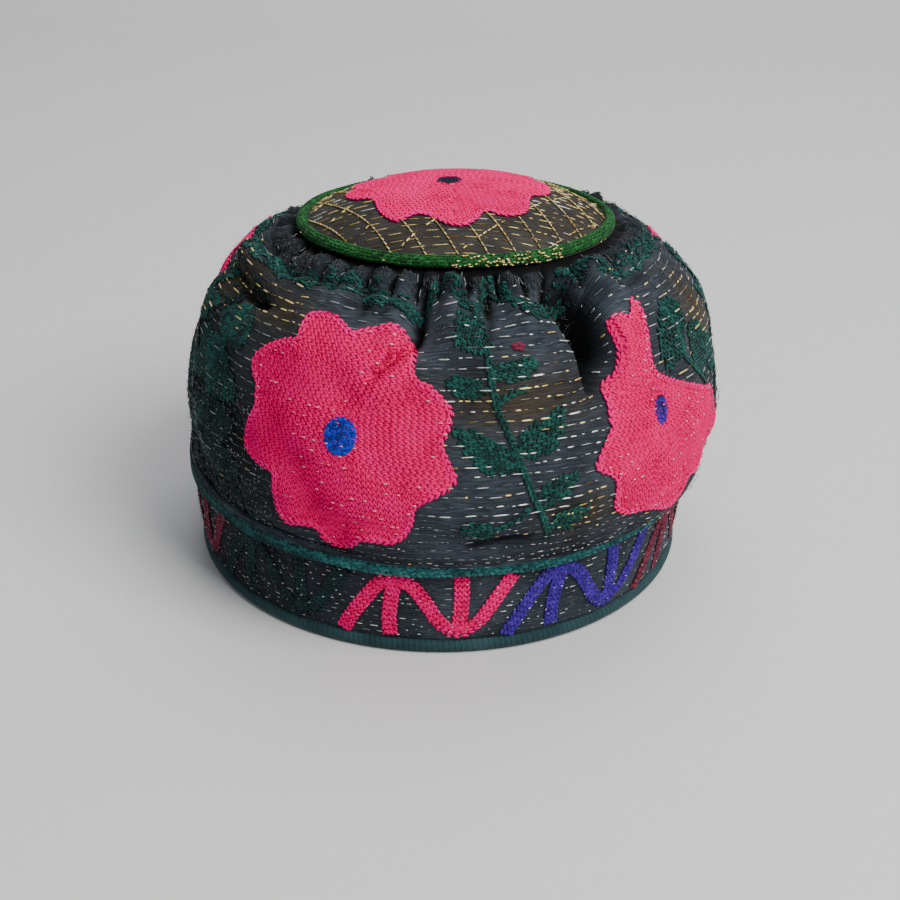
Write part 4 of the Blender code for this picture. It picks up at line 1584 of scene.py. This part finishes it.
def make_wall_strips():
    """Broken metallic threads woven into the wall's cloth, row over row."""
    chance = np.random.default_rng(91)
    silver, gold, glints = Stitches(), Stitches(), Stitches()
    flowers = flower_outlines()
    climb = 0.020
    while climb < 0.925:
        low = climb < SHORT_STRIPS_CLIMB
        radius = float(wall_profile(np.array(climb))[0])
        sizes = SHORT_STRIPS if low else LONG_STRIPS
        start = chance.random() * 0.05
        turn, length = broken_row(start, 2 * math.pi, radius, sizes, WALL_GAPS, chance)
        turn = turn + length / radius / 2
        climbs = climb + 0.0012 * np.sin(3 * turn + climb * 40)
        own = np.stack((turn / DEGREE, climbs), -1)
        covered = inside_any(flowers, own)
        degrees = own[:, 0]
        patchy = 0.35 + 0.5 * np.sin(degrees * 0.21 + 1.2) * np.sin(climb * 13 - degrees * 0.05)
        patchy += 0.4 * np.exp(-((degrees + 22) / 9) ** 2 - ((climbs - 0.63) / 0.10) ** 2)
        keep = ~covered | (chance.random(len(own)) < 0.75 * patchy)
        # No strips where the crease's painted shade is over half
        keep &= crease_shade(turn, climbs) < 0.5
        turn, length, climbs, covered = turn[keep], length[keep], climbs[keep], covered[keep]
        count = len(turn)
        length = np.where(covered, np.minimum(length, 0.0015), length)
        length = np.minimum(length, 0.0100 - 0.0085 * smooth_step(0.80, 0.90, climbs))
        round_it, up_it, out = wall_axes(turn, climbs)
        over = chance.random(count) < 0.45
        place = wall_place(turn, climbs, np.where(covered | over, STRIP_OVER, STRIP_FLAT))
        is_gold = chance.random(count) < 0.04 + 0.9 * gold_share(turn / DEGREE, climbs)
        # Painted highlight: the strips are brightest round turn 30 degrees and duller away from it;
        # they are half as bright in the short low rows, and gold ones brighter
        bright = 0.40 + 0.60 * np.exp(-(around(turn, 30 * DEGREE) / 0.85) ** 2)
        bright = bright * (0.50 if low else 1.0) + 0.65 * is_gold
        tones = np.clip(chance.random(count) ** 0.9 * bright + 0.5 * covered, 0, 1)
        along = unit(round_it + up_it * 0.10 * (chance.random((count, 1)) - 0.5))
        width = 0.00026 + 0.00044 * tones ** 2
        is_gold &= ~covered
        for stitches, own in ((silver, ~is_gold & ~covered), (gold, is_gold), (glints, covered)):
            stitches.add(place[own], along[own], out[own], length[own], width[own],
                         STRIP_THICKNESS, tones[own])
        climb += (SHORT_STRIP_ROWS if low else LONG_STRIP_ROWS) / WALL_LENGTH
    glints.sew("flower_glints", "silver_thread", PALE_PINK)
    silver.sew("wall_silver_strips", "silver_thread", SILVER)
    gold.sew("wall_gold_strips", "gold_thread", GOLD)


def make_band_strips():
    chance = np.random.default_rng(101)
    stitches = Stitches()
    height = 0.0072
    while height < 0.0320:
        start = chance.random() * 0.05
        turn, length = broken_row(start, 2 * math.pi, BAND_BOTTOM_RADIUS, BAND_STRIPS, BAND_GAPS,
                                  chance)
        heights = height + 0.0002 * np.sin(5 * turn)
        round_it, up_it, out = band_axes(turn, heights)
        over = chance.random(len(turn)) < 0.45
        place = band_place(turn, heights, np.where(over, 0.0011, 0.0001))
        length = np.where(over, 0.0009, length)
        tones = 0.75 * chance.random(len(turn)) ** 1.5
        stitches.add(place, round_it, out, length, 0.00026 + 0.00026 * tones, 0.00034, tones)
        height += BAND_STRIP_ROWS
    stitches.sew("band_silver_strips", "silver_thread", SILVER)


def make_panel_strips():
    """Metallic rows across the top panel, and the gold threads laid over it in a lattice."""
    chance = np.random.default_rng(111)
    silver, gold = Stitches(), Stitches()
    outline = np.asarray(TOP_FLOWER) / 1000
    reach = DISC_RADIUS - 0.0025
    for y in np.arange(-0.049, 0.050, PANEL_STRIP_ROWS):
        half = math.sqrt(reach ** 2 - y ** 2)
        x, length = broken_row(-half, half, 1.0, PANEL_STRIPS, PANEL_GAPS, chance)
        x = x + length / 2
        open_cloth = ~inside(outline, np.stack((x, np.full(len(x), y)), -1))
        x, length = x[open_cloth], length[open_cloth]
        right, back, out = panel_axes(x, y)
        place = panel_place(x, y, STRIP_FLAT)
        is_gold = chance.random(len(x)) < 0.80
        for stitches, own in ((silver, ~is_gold), (gold, is_gold)):
            stitches.add(place[own], right[own], out[own], length[own], 0.0004, 0.0004,
                         chance.random(own.sum()))
    steps = np.arange(-0.052, 0.052, 0.0024)
    for slope, spacing, share in ((-2.0, 0.0090, 1.0), (1.3, 0.0170, 0.4)):
        heading = np.array((1.0, slope)) / math.hypot(1.0, slope)
        across = np.array((-heading[1], heading[0]))
        for offset in np.arange(-0.048, 0.049, spacing):
            wander = 0.0006 * np.sin(steps / 0.011)
            flat = steps[:, None] * heading + (offset + wander)[:, None] * across
            flat = flat[(np.linalg.norm(flat, axis=1) < reach) & ~inside(outline, flat)]
            flat = flat[chance.random(len(flat)) < share]
            if len(flat) < 2:
                continue
            right, back, out = panel_axes(flat[:, 0], flat[:, 1])
            along = unit(right * heading[0] + back * heading[1])
            place = panel_place(flat[:, 0], flat[:, 1], 0.0004)
            tones = 0.25 + 0.75 * chance.random(len(flat))
            gold.add(place, along, out, 0.0025, 0.0007, 0.0006, tones)
    turn = np.append(np.arange(-1, 40, 0.5), (-24.0, 62.0, 66.0, 130.0, 150.0, 290.0)) * DEGREE
    count = len(turn)
    turn = turn + 0.02 * (chance.random(count) - 0.5)
    middle, outward, out = panel_ring(TOP_CORD_RADIUS, 0.0004)(turn)
    lean = -0.4 + 2.2 * chance.random((count, 1))
    normal = outward * np.cos(lean) + out * np.sin(lean)
    along = unit(np.cross(out, outward) + 0.6 * outward * (chance.random((count, 1)) - 0.5))
    place = middle + normal * DISC_CORD_WIDTH * 0.57
    gold.add(place, along, normal, 0.0012, 0.0006, 0.0005, 0.3 + 0.7 * chance.random(count))
    silver.sew("panel_silver_strips", "silver_thread", SILVER)
    gold.sew("panel_gold_strips", "gold_thread", GOLD)


def make_red_spot():
    """The few dark red stitches beside the sprig."""
    stitches = Stitches()
    turn = np.array((12.8, 13.6, 14.4, 13.2, 14.0)) * DEGREE
    climb = np.array((0.722, 0.726, 0.720, 0.712, 0.710))
    round_it, up_it, out = wall_axes(turn, climb)
    stitches.add(wall_place(turn, climb, LOW_LIFT), round_it, out, 0.0026, 0.0013, 0.0009, 0.6)
    stitches.sew("red_spot", "red_thread", RED, sides=6, rings=4)


def make_loose_fibres():
    chance = np.random.default_rng(121)
    fuzz = Stitches()
    count = 4400
    turn = chance.random(count) * 2 * math.pi
    climb = 0.03 + 0.93 * chance.random(count)
    round_it, up_it, out = wall_axes(turn, climb)
    tilt = chance.random((count, 2)) - 0.5
    along = unit(out * 0.8 + round_it * 2.2 * tilt[:, :1] + up_it * 2.2 * tilt[:, 1:])
    length = 0.0008 + 0.0016 * chance.random(count)
    place = wall_place(turn, climb, 0.0004) + along * (length / 2)[:, None]
    fuzz.add(place, along, round_it, length, 0.00010, 0.00010, chance.random(count))
    fuzz.sew("loose_fibres", "dark_teal_thread", DARK_TEAL, sides=3)


# The camera at the photograph's angle
CAMERA_TARGET = Vector((-0.0004, 0.0, 0.0301))
CAMERA_DISTANCE = 0.5901
CAMERA_ELEVATION = math.radians(27.77)
CAMERA_ROLL = math.radians(0.95)
CAMERA_LENS = 64.0


def make_camera():
    data = bpy.data.cameras.new("camera")
    data.lens = CAMERA_LENS
    data.sensor_width = 36.0
    data.clip_start = 0.01
    camera = bpy.data.objects.new("camera", data)
    bpy.context.scene.collection.objects.link(camera)
    back = Vector((0, -math.cos(CAMERA_ELEVATION), math.sin(CAMERA_ELEVATION)))
    camera.location = CAMERA_TARGET + back * CAMERA_DISTANCE
    turned = (-back).to_track_quat("-Z", "Y").to_matrix().to_4x4()
    spin = Matrix.Rotation(CAMERA_ROLL, 4, "Z")
    camera.rotation_euler = (turned @ spin).to_euler()
    bpy.context.scene.camera = camera


def make_stage():
    """A plain pale floor that bends up into a plain back."""
    width, reach, rise, bend, steps = 3.0, 1.2, 1.6, 0.5, 16
    section = [(-2.5, 0.0), (0.2, 0.0)]
    for i in range(1, steps + 1):
        angle = i / steps * math.pi / 2
        section.append((reach - bend + bend * math.sin(angle), bend - bend * math.cos(angle)))
    section.append((reach, rise))
    places = [(x, y, z) for y, z in section for x in (-width, width)]
    faces = [(2 * i, 2 * i + 1, 2 * i + 3, 2 * i + 2) for i in range(len(section) - 1)]
    material, tree, shader = new_material("pale floor", 0.75)
    shader.inputs["Base Color"].default_value = (0.72, 0.72, 0.72, 1)
    mesh_piece("floor", places, faces, material)


# Lamps: name, place, size, power, colour
LAMPS = (
    ("key", (0.70, -0.62, 1.12), 0.8, 25.0, (1.0, 0.98, 0.95)),
    ("fill", (-0.95, -0.75, 0.7), 1.0, 0.7, (0.92, 0.96, 1.0)),
    ("top", (0.1, 0.5, 1.3), 0.9, 7.0, (1.0, 1.0, 1.0)),
)


def make_lights():
    world = bpy.data.worlds.new("studio")
    world.use_nodes = True
    sky = world.node_tree.nodes["Background"].inputs
    sky["Color"].default_value = (0.86, 0.92, 1.0, 1)
    sky["Strength"].default_value = 0.26
    bpy.context.scene.world = world
    for name, place, size, power, colour in LAMPS:
        data = bpy.data.lights.new(name, "AREA")
        data.size = size
        data.energy = power
        data.color = colour
        lamp = bpy.data.objects.new(name, data)
        bpy.context.scene.collection.objects.link(lamp)
        lamp.location = place
        aim = Vector((0, 0, 0.06)) - Vector(place)
        lamp.rotation_euler = aim.to_track_quat("-Z", "Y").to_euler()


make_camera()
make_stage()
make_lights()
make_rings()
make_band_cloth()
make_wall_cloth()
make_panel_cloth()
make_wall_flowers()
make_top_flower()
make_sprigs()
make_left_strokes()
make_gather_line()
make_gather_stitches()
make_band_waves()
make_wall_strips()
make_band_strips()
make_panel_strips()
make_red_spot()
make_loose_fibres()
